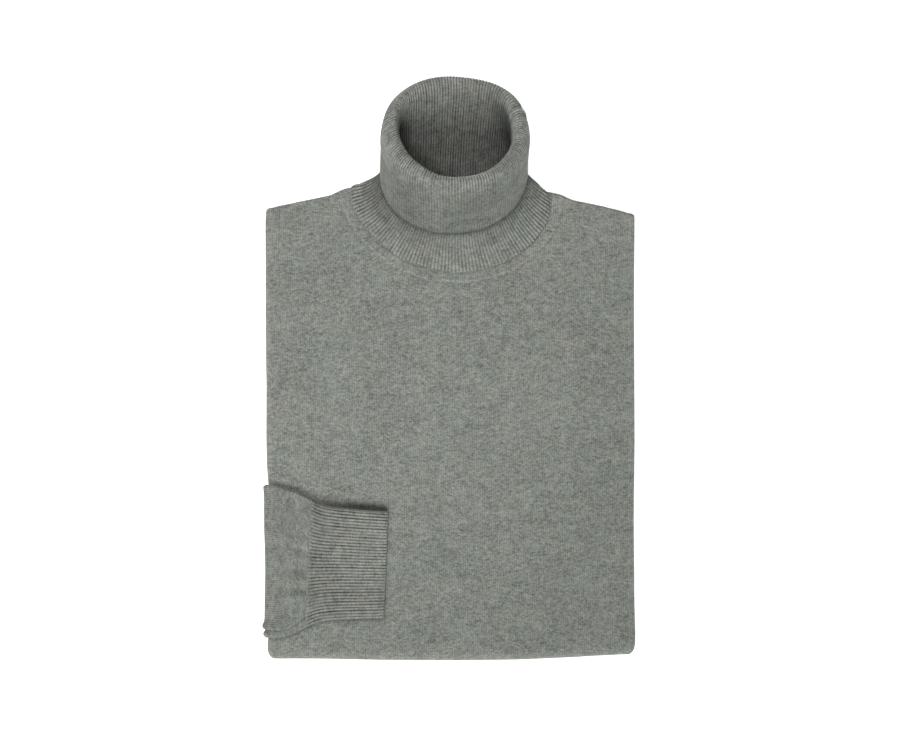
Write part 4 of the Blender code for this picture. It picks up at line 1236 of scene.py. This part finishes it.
# Painted shade and light along the collar, as how light the yarn looks: place by the number of the
# ring, and tone
OUTSIDE_PAINTED_SHADE = ((0.0, 0.9), (2.0, 0.79), (3.0, 0.7), (12.0, 0.8))
INSIDE_PAINTED_LIGHT_AND_SHADE = ((0.0, 0.7), (2.0, 0.72), (3.0, 0.68), (3.7, 0.58), (4.4, 0.74), (5.0, 0.92),
               (5.8, 1.12), (7.0, 1.23), (8.4, 1.06), (8.9, 0.92), (9.4, 0.73), (10.0, 0.63),
               (11.0, 0.65), (11.9, 0.65), (12.0, 0.4))

# Painted shade and light on it, inside: two values over a stretch of rings (RINGS) or of the cosine
# round a ring (SIDE), which is -1 at the left and 1 at the right
LOW_RINGS = (1.0, 0.0, 3.2, 4.1)          # the room's lower part
LOW_SIDE = (0.0, 0.35, 0.3, 0.7)          # lighter there, towards the left
LEFT_RINGS = (1.0, 0.0, 4.6, 5.6)         # darker at its left
LEFT_SIDE = (0.0, 0.15, 0.55, 0.95)
RIGHT_RINGS = (1.0, 0.0, 4.8, 6.1)        # and at its right, with shares above and in the lower part
RIGHT_SIDE = (0.0, 1.0, 0.47, 0.95)
RIGHT_DARK = (0.78, 0.68)
UPPER_RINGS = ((0.0, 1.0, 3.8, 4.6), (1.0, 0.0, 5.6, 6.8))
UPPER_SIDE = ((0.6, 0.22, 0.16),)         # darker at the upper right
FLANK_RINGS = (0.0, 1.0, 7.5, 9.5)        # the turned-over part's flanks
FLANK_SIDE = ((0.0, 0.2, 0.15, 0.95), (0.0, 0.1, 0.8, 1.0))
FLANK_FRONT = ((-0.62, 0.3, 0.15),)
# And outside: painted shadow below the turned-over part and close to its edge, in front and at the
# left
UNDER_RINGS = (0.0, 1.0, 0.5, 1.9)
UNDER_DARK = (0.08, 0.36)
CLOSE_DARK = (0.45, 0.62)
CLOSE_WIDTH = 1.9
EDGE_SAMPLES = 240            # places that measure the distance from that edge


def collar_places():
    """How far along the wall each ring of the collar's table is, on average."""
    angle = np.linspace(0.0, 2.0 * math.pi, PLACE_SAMPLES + 1)[:-1]
    rings = np.array([ring_points(ring, angle) for ring in RINGS])
    steps = np.linalg.norm(np.diff(rings, axis=0), axis=2).mean(axis=1)
    return np.concatenate(([0.0], np.cumsum(steps)))


COLLAR_PLACES = collar_places()


def ring_at(place):
    """The collar's ring at a place along it."""
    return np.array([through(place, COLLAR_PLACES, field) for field in RINGS.T])


def collar_rows(places):
    """Middle of the collar's wall, its normals and angles, for rows at some places along it."""
    middle, along, angles = [], [], []
    for place in places:
        points, angle = even_ring(ring_at(place))
        middle.append(points)
        angles.append(angle)
        before, _angles = even_ring(ring_at(place - NORMAL_STEP))
        after, _angles = even_ring(ring_at(min(place + NORMAL_STEP, COLLAR_PLACES[-1])))
        along.append(after - before)
    middle = np.array(middle)
    around = np.roll(middle, -1, axis=1) - np.roll(middle, 1, axis=1)
    normals = np.cross(around, np.array(along))
    return middle, normals / np.linalg.norm(normals, axis=2, keepdims=True), np.array(angles)


def row_places(rows):
    """Places along the collar of its rows of points, from the neckline to the free edge."""
    places = [-EDGE_LAP]
    for first, last, step in rows:
        low, high = COLLAR_PLACES[first], COLLAR_PLACES[last]
        places += list(mix(low, high, steps_along(high - low, step)))
    return np.array(places + [COLLAR_PLACES[-1] - RIM, COLLAR_PLACES[-1]])


def from_turned_edge(points):
    """Distance, in plan, from the turned-over part's free edge."""
    edge = ring_points(RINGS[-1], np.linspace(math.pi, 2.0 * math.pi, EDGE_SAMPLES))[:, :2]
    return nearest(points[..., :2].reshape(-1, 2), edge).reshape(points.shape[:-1])


def collar_lumps(at, along):
    """Soft lumps of the collar, in whole waves round it that turn a little along it."""
    turn = (at + LUMP_DRIFT * along) * 2.0 * math.pi / COLLAR_RIBS
    lumps = LUMP_HEIGHT * sum(np.sin(waves * turn + phase) for waves, phase in LUMP_WAVES)
    return lumps * smooth(along, *LUMPS_FROM)


def inside_shade(rings, to_side):
    """Painted shade and light that the inside's tone is multiplied by: the room's sides, and the
    turned-over flanks.
    """
    low = ramp(rings, *LOW_RINGS)
    left = ramp(rings, *LEFT_RINGS) * ramp(-to_side, *LEFT_SIDE) * (1.0 - low)
    right = ramp(rings, *RIGHT_RINGS) * ramp(to_side, *RIGHT_SIDE) * mix(*RIGHT_DARK, low)
    lighter = low * ramp(-to_side, *LOW_SIDE)
    upper = ramp(rings, *UPPER_RINGS[0]) * ramp(rings, *UPPER_RINGS[1])
    upper = upper * bells(to_side, UPPER_SIDE)
    flank = sum(ramp(to_side, *stretch) for stretch in FLANK_SIDE) - bells(to_side, FLANK_FRONT)
    flank = flank * ramp(rings, *FLANK_RINGS)
    return (1.0 - left - right) * (1.0 + lighter) * (1.0 - upper) * (1.0 + flank)


def outside_shade(rings, to_side, points):
    """The same for the outside: the painted shadow of the turned-over part."""
    to_left = np.maximum(-to_side, 0.0)
    under = ramp(rings, *UNDER_RINGS) * mix(*UNDER_DARK, to_left)
    close = bell(from_turned_edge(points), 0.0, CLOSE_WIDTH) * mix(*CLOSE_DARK, to_left)
    return (1.0 - under) * (1.0 - close)


def collar_face(build, places, side):
    """One face of the collar's wall: side 1 is the stand's outside, -1 its inside."""
    middle, normals, angles = collar_rows(places)
    to_side = np.cos(angles)
    along = places[:, None]
    rings = np.interp(along, COLLAR_PLACES, np.arange(len(COLLAR_PLACES)))
    at = np.arange(middle.shape[1]) / POINTS_A_RIB
    valley = rib_valley(at, OUTSIDE_VALLEY if side > 0 else RIB_VALLEY)
    valley = valley * uneven_ribs(at[None], along, COLLAR_RIBS, COLLAR_SEED)
    share = np.interp(rings, *zip(*(OUTSIDE_RIBS if side > 0 else INSIDE_RIBS)))
    share = share * ramp(along, *EDGE_RIBS)
    if side < 0:
        share = share * smooth(middle[..., 2], *FLAT_RIBS)
    else:
        at_front, at_left, at_right, sharpness = SIDE_RIBS
        at_sides = np.where(to_side < 0.0, at_left, at_right)
        share = share * mix(at_front, at_sides, np.abs(to_side) ** sharpness)
    seam = np.abs(at - SEAM_RIB)
    ridge = bells(seam, SEAM_SHAPES) * smooth(rings, *SEAM_FROM[0])
    lift = WALL / 2 * ramp(along, *EDGE_THIN) + share * rib_lift(valley) + ridge
    points = middle + normals * (side * lift + collar_lumps(at, along))[..., None]
    points[..., 2] += ramp(along, *EDGE_LIFT)
    shorter = np.random.RandomState(COLLAR_EDGE_SEED).uniform(*EDGE_SHORTER, COLLAR_RIBS)
    tuck = mix(shorter[np.round(at - 0.5).astype(int) % COLLAR_RIBS], VALLEY_SHORTER,
               np.minimum(valley[0], 1.0))
    points[0] = mix(points[0], points[1], tuck[:, None])
    points[..., 2] = np.maximum(points[..., 2], 0.0)
    knit = np.stack(np.broadcast_arrays(at * RIB_PITCH, along), axis=-1)
    # painted shade and light along the collar, round its room, under its turned-over part and beside
    # its seam
    tone = np.interp(rings, *zip(*(OUTSIDE_PAINTED_SHADE if side > 0 else INSIDE_PAINTED_LIGHT_AND_SHADE)))
    tone = tone * (outside_shade(rings, to_side, points) if side > 0
                   else inside_shade(rings, to_side))
    tone = tone * (1.0 + bells(seam, SEAM_PAINTED_LIGHT_AND_SHADE) * smooth(rings, *SEAM_FROM[1]))
    return build.add_rows(points, knit, valley * share, tone)


def make_collar():
    """Both faces of the collar's wall, closed at the neckline and at the free edge."""
    build = Cloth()
    outer = collar_face(build, row_places(OUTSIDE_ROWS), 1)
    inner = collar_face(build, row_places(INSIDE_ROWS), -1)
    build.shell(inner, outer)
    return build.finish("collar_cloth")


# ---------------------------------------------------------------- materials

KNIT_SURFACE = {"Roughness": 0.92, "Specular IOR Level": 0.12, "Sheen Weight": 0.12,
                "Sheen Roughness": 0.6}

# Noises in the yarn: size across and along, detail and seed; and how much four of them mix the fibres
SPECKLE = (1.25, 1.3, 1.0, 3.7)
STREAK = (3.7, 2.0, 1.0, 11.3)
CLOUD = (11.0, 7.0, 1.0, 23.9)
BROAD = (38.0, 30.0, 0.0, 41.1)
PATCH = (21.0, 17.0, 1.0, 57.3)
NOISE_ROUGHNESS = 0.6
FIBRE_MIX = (0.66, 0.46, 0.12, 0.08)
FIBRE_MIDDLE = (0.475, 0.6)   # the fibres' mix at rest, less this share of the columns' strength
HUE_DRIFT = (0.11, 0.5)       # how far the patches turn the hue, and the hue at rest

# A stitch: how far its columns wander and show in patches, the slant of its legs and their shares
COLUMN_WANDER = 0.6
COLUMN_PATCHES = 0.9
COLUMN_ROUND = 1.6
LEG_SLANT = 0.45
LEG_TONE = 0.06
BUMP_MIX = (0.55, 0.3, 0.35)  # columns, legs and speckle in the bump
BUMP_STRENGTH = 0.6
BUMP_DISTANCE = 0.0003


class Graph:
    """Short names for the nodes of one material."""

    def __init__(self, material):
        self.tree = material.node_tree

    def node(self, kind, inputs=(), **settings):
        made = self.tree.nodes.new(kind)
        for name, value in settings.items():
            setattr(made, name, value)
        for name, value in dict(inputs).items():
            self.feed(made.inputs[name], value)
        return made

    def feed(self, socket, value):
        if isinstance(value, bpy.types.NodeSocket):
            self.tree.links.new(value, socket)
        else:
            socket.default_value = value

    def math(self, operation, first, second=0.0, third=0.0):
        made = self.node("ShaderNodeMath", {0: first, 1: second, 2: third}, operation=operation)
        return made.outputs[0]

    def noise(self, across, along, detail, seed):
        """Noise from about -1 to 1 with features of a given size, in knit coordinates."""
        vector = self.node("ShaderNodeCombineXYZ", {
            "X": self.math("DIVIDE", self.across, across),
            "Y": self.math("DIVIDE", self.along, along), "Z": seed})
        made = self.node("ShaderNodeTexNoise", {"Vector": vector.outputs[0], "Scale": 1.0,
                                                "Detail": detail,
                                                "Roughness": NOISE_ROUGHNESS})
        return self.math("MULTIPLY_ADD", made.outputs["Fac"], 2.0, -1.0)

    def total(self, terms):
        """Sum of (amount, socket) terms."""
        value = 0.0
        for amount, socket in terms:
            value = self.math("MULTIPLY_ADD", socket, amount, value)
        return value


def stitches(graph, stitch, broad, cloud):
    """Height of a knit's columns and of its stitches' legs, and the columns as they show.

    A stitch has two legs that meet in a V, in columns that wander a little and show in patches.
    """
    wale, course = stitch
    column = graph.math("MULTIPLY_ADD", broad, COLUMN_WANDER,
                        graph.math("DIVIDE", graph.across, wale))
    from_middle = graph.math("ABSOLUTE", graph.math(
        "MULTIPLY_ADD", graph.math("FRACT", column), 2.0, -1.0))
    leg = graph.math("FRACT", graph.math(
        "MULTIPLY_ADD", from_middle, LEG_SLANT, graph.math("DIVIDE", graph.along, course)))
    leg_height = graph.math("SUBTRACT", 1.0, graph.math("ABSOLUTE", graph.math(
        "MULTIPLY_ADD", leg, 2.0, -1.0)))
    wale_height = graph.math("SUBTRACT", 1.0, graph.math("POWER", from_middle, COLUMN_ROUND))
    patchy = graph.math("MULTIPLY", wale_height,
                        graph.math("MULTIPLY_ADD", cloud, COLUMN_PATCHES, 1.0))
    return wale_height, leg_height, patchy


def yarn_colour(graph, share, dark, light):
    """A share of light fibres among the dark ones, whose hue drifts a little in patches."""
    clamp = graph.node("ShaderNodeClamp", {"Value": share})
    fibres = graph.node("ShaderNodeMixRGB", {"Fac": clamp.outputs[0], "Color1": (*dark, 1.0),
                                             "Color2": (*light, 1.0)})
    hue = graph.node("ShaderNodeHueSaturation", {
        "Hue": graph.math("MULTIPLY_ADD", graph.noise(*PATCH), *HUE_DRIFT), "Saturation": 1.0,
        "Color": fibres.outputs["Color"]})
    return hue.outputs["Color"]


def with_painted_shade(graph, colour, valley, painted_valley_shade):
    """A colour with painted shade in the rib's valleys, multiplied by the tone that comes with the
    mesh, which holds painted light and shade.
    """
    tone = graph.node("ShaderNodeAttribute", attribute_name="tone")
    shadow = graph.math("MULTIPLY_ADD", valley, -painted_valley_shade, 1.0)
    shadow = graph.math("MULTIPLY", shadow, tone.outputs["Fac"])
    scaled = graph.node("ShaderNodeVectorMath", {0: colour, "Scale": shadow}, operation="SCALE")
    return scaled.outputs[0]


def knit_material(name, dark, light, stitch, strengths):
    """A heathered wool knit: dark and light fibres, stitches in columns, painted shade in the rib
    valleys.

    stitch is its width and length; strengths say how strongly the fibres' mix, the stitches'
    columns and the painted shade in the rib's valleys show.
    """
    heather, columns, painted_valley_shade = strengths
    material = bpy.data.materials.new(name)
    material.use_nodes = True
    shader = material.node_tree.nodes["Principled BSDF"]
    for socket, value in KNIT_SURFACE.items():
        shader.inputs[socket].default_value = value
    graph = Graph(material)
    knit = graph.node("ShaderNodeAttribute", attribute_name="knit")
    parts = graph.node("ShaderNodeSeparateXYZ", {0: knit.outputs["Vector"]})
    graph.across, graph.along, valley = parts.outputs
    speckle, streak, cloud, broad = (graph.noise(*kind) for kind in (SPECKLE, STREAK, CLOUD, BROAD))
    wale_height, leg_height, patchy = stitches(graph, stitch, broad, cloud)

    mixed = graph.total(zip(FIBRE_MIX, (speckle, streak, cloud, broad)))
    tone = graph.total(((heather, mixed), (columns, patchy), (LEG_TONE, leg_height)))
    share = graph.math("ADD", tone, FIBRE_MIDDLE[0] - FIBRE_MIDDLE[1] * columns)
    colour = with_painted_shade(graph, yarn_colour(graph, share, dark, light), valley, painted_valley_shade)
    graph.feed(shader.inputs["Base Color"], colour)

    height = graph.total(zip(BUMP_MIX, (wale_height, leg_height, speckle)))
    bump = graph.node("ShaderNodeBump", {"Height": height, "Strength": BUMP_STRENGTH,
                                         "Distance": BUMP_DISTANCE})
    graph.feed(shader.inputs["Normal"], bump.outputs[0])
    return material


# ---------------------------------------------------------------- stage, light and camera

CAMERA_HEIGHT = 2.22
CAMERA_REACH = 50.0       # how far it sees
SENSOR = 36.0
LENS = 98.32
FLOOR_SIZE = 4.0          # half its side
FLOOR_DROP = 0.0003
FLOOR_SURFACE = {"Base Color": (0.9, 0.9, 0.9, 1.0), "Roughness": 1.0, "Specular IOR Level": 0.0,
                 "Emission Color": (1.0, 1.0, 1.0, 1.0), "Emission Strength": 0.85}
WORLD_STRENGTH = 0.16
# Name, place, size, energy and colour
LIGHTS = (
    ("upper_left", (-0.62, 0.42, 1.1), 0.8, 7.5, (1.0, 0.96, 0.975)),
    ("key", (-0.25, -3.6, 3.5), 2.0, 184.0, (0.985, 1.0, 0.98)),
)


def add_floor():
    """A pale floor with a little light of its own, which keeps the surround near white."""
    mesh = bpy.data.meshes.new("floor")
    corners = [(x * FLOOR_SIZE, y * FLOOR_SIZE, 0.0) for x, y in ((-1, -1), (1, -1), (1, 1), (-1, 1))]
    mesh.from_pydata(corners, [], [(0, 1, 2, 3)])
    floor = bpy.data.objects.new("floor", mesh)
    material = bpy.data.materials.new("pale_floor")
    material.use_nodes = True
    shader = material.node_tree.nodes["Principled BSDF"]
    for socket, value in FLOOR_SURFACE.items():
        shader.inputs[socket].default_value = value
    mesh.materials.append(material)
    bpy.context.scene.collection.objects.link(floor)
    floor.location.z = -FLOOR_DROP


def add_light(name, place, size, energy, colour):
    light = bpy.data.lights.new(name, "AREA")
    light.shape = "SQUARE"
    light.size = size
    light.energy = energy
    light.color = colour
    lamp = bpy.data.objects.new(name, light)
    lamp.location = place
    lamp.rotation_euler = (-Vector(place)).to_track_quat("-Z", "Y").to_euler()
    bpy.context.scene.collection.objects.link(lamp)


def add_world():
    world = bpy.data.worlds.new("studio")
    world.use_nodes = True
    back = world.node_tree.nodes["Background"]
    back.inputs["Color"].default_value = (1.0, 1.0, 1.0, 1.0)
    back.inputs["Strength"].default_value = WORLD_STRENGTH
    bpy.context.scene.world = world


def add_camera():
    """Straight above the middle of the folded sweater."""
    camera = bpy.data.cameras.new("camera")
    camera.sensor_width = SENSOR
    camera.lens = LENS
    camera.clip_end = CAMERA_REACH
    holder = bpy.data.objects.new("camera", camera)
    holder.location = (-BOX_MIDDLE[0] * MM, -BOX_MIDDLE[1] * MM, CAMERA_HEIGHT)
    bpy.context.scene.collection.objects.link(holder)
    bpy.context.scene.camera = holder


# ---------------------------------------------------------------- the scene

DARK_FIBRE = (0.105, 0.112, 0.100)
LIGHT_FIBRE = (0.375, 0.395, 0.360)
# The ribs' yarn is painted lighter than the jersey's, to make up for the painted shade in their
# valleys and their own shading
DARK_RIB = (0.122, 0.130, 0.116)
LIGHT_RIB = (0.430, 0.452, 0.412)
STITCH = (1.94, 1.3)
RIB_STITCH = (RIB_PITCH, 1.4)
BODY_STRENGTHS = (1.0, 0.19, 0.0)         # of the fibres' mix, the columns and the painted shade in the rib valleys
SLEEVE_STRENGTHS = (0.85, 0.32, 0.0)
RIB_STRENGTHS = (0.82, 0.3, 0.4)


def declare(piece, node, material):
    """Take its material, ride with the body, and stand for a CAD node, which is hidden."""
    piece.data.materials.clear()
    piece.data.materials.append(material)
    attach(piece, "root")
    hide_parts(node)


jersey = knit_material("jersey_knit", DARK_FIBRE, LIGHT_FIBRE, STITCH, BODY_STRENGTHS)
sleeve_jersey = knit_material("sleeve_knit", DARK_FIBRE, LIGHT_FIBRE, STITCH, SLEEVE_STRENGTHS)
rib = knit_material("rib_knit", DARK_RIB, LIGHT_RIB, RIB_STITCH, RIB_STRENGTHS)
declare(make_layers(), "folded_layers", jersey)
declare(make_back(), "back_panel", jersey)
declare(make_front(), "front_panel", jersey)
declare(make_sleeve(), "sleeve", sleeve_jersey)
declare(make_cuff(), "sleeve_cuff", rib)
declare(make_collar(), "collar", rib)

add_floor()
add_world()
for light in LIGHTS:
    add_light(*light)
add_camera()
bpy.context.scene.view_settings.view_transform = "Standard"
bpy.context.scene.view_settings.look = "None"
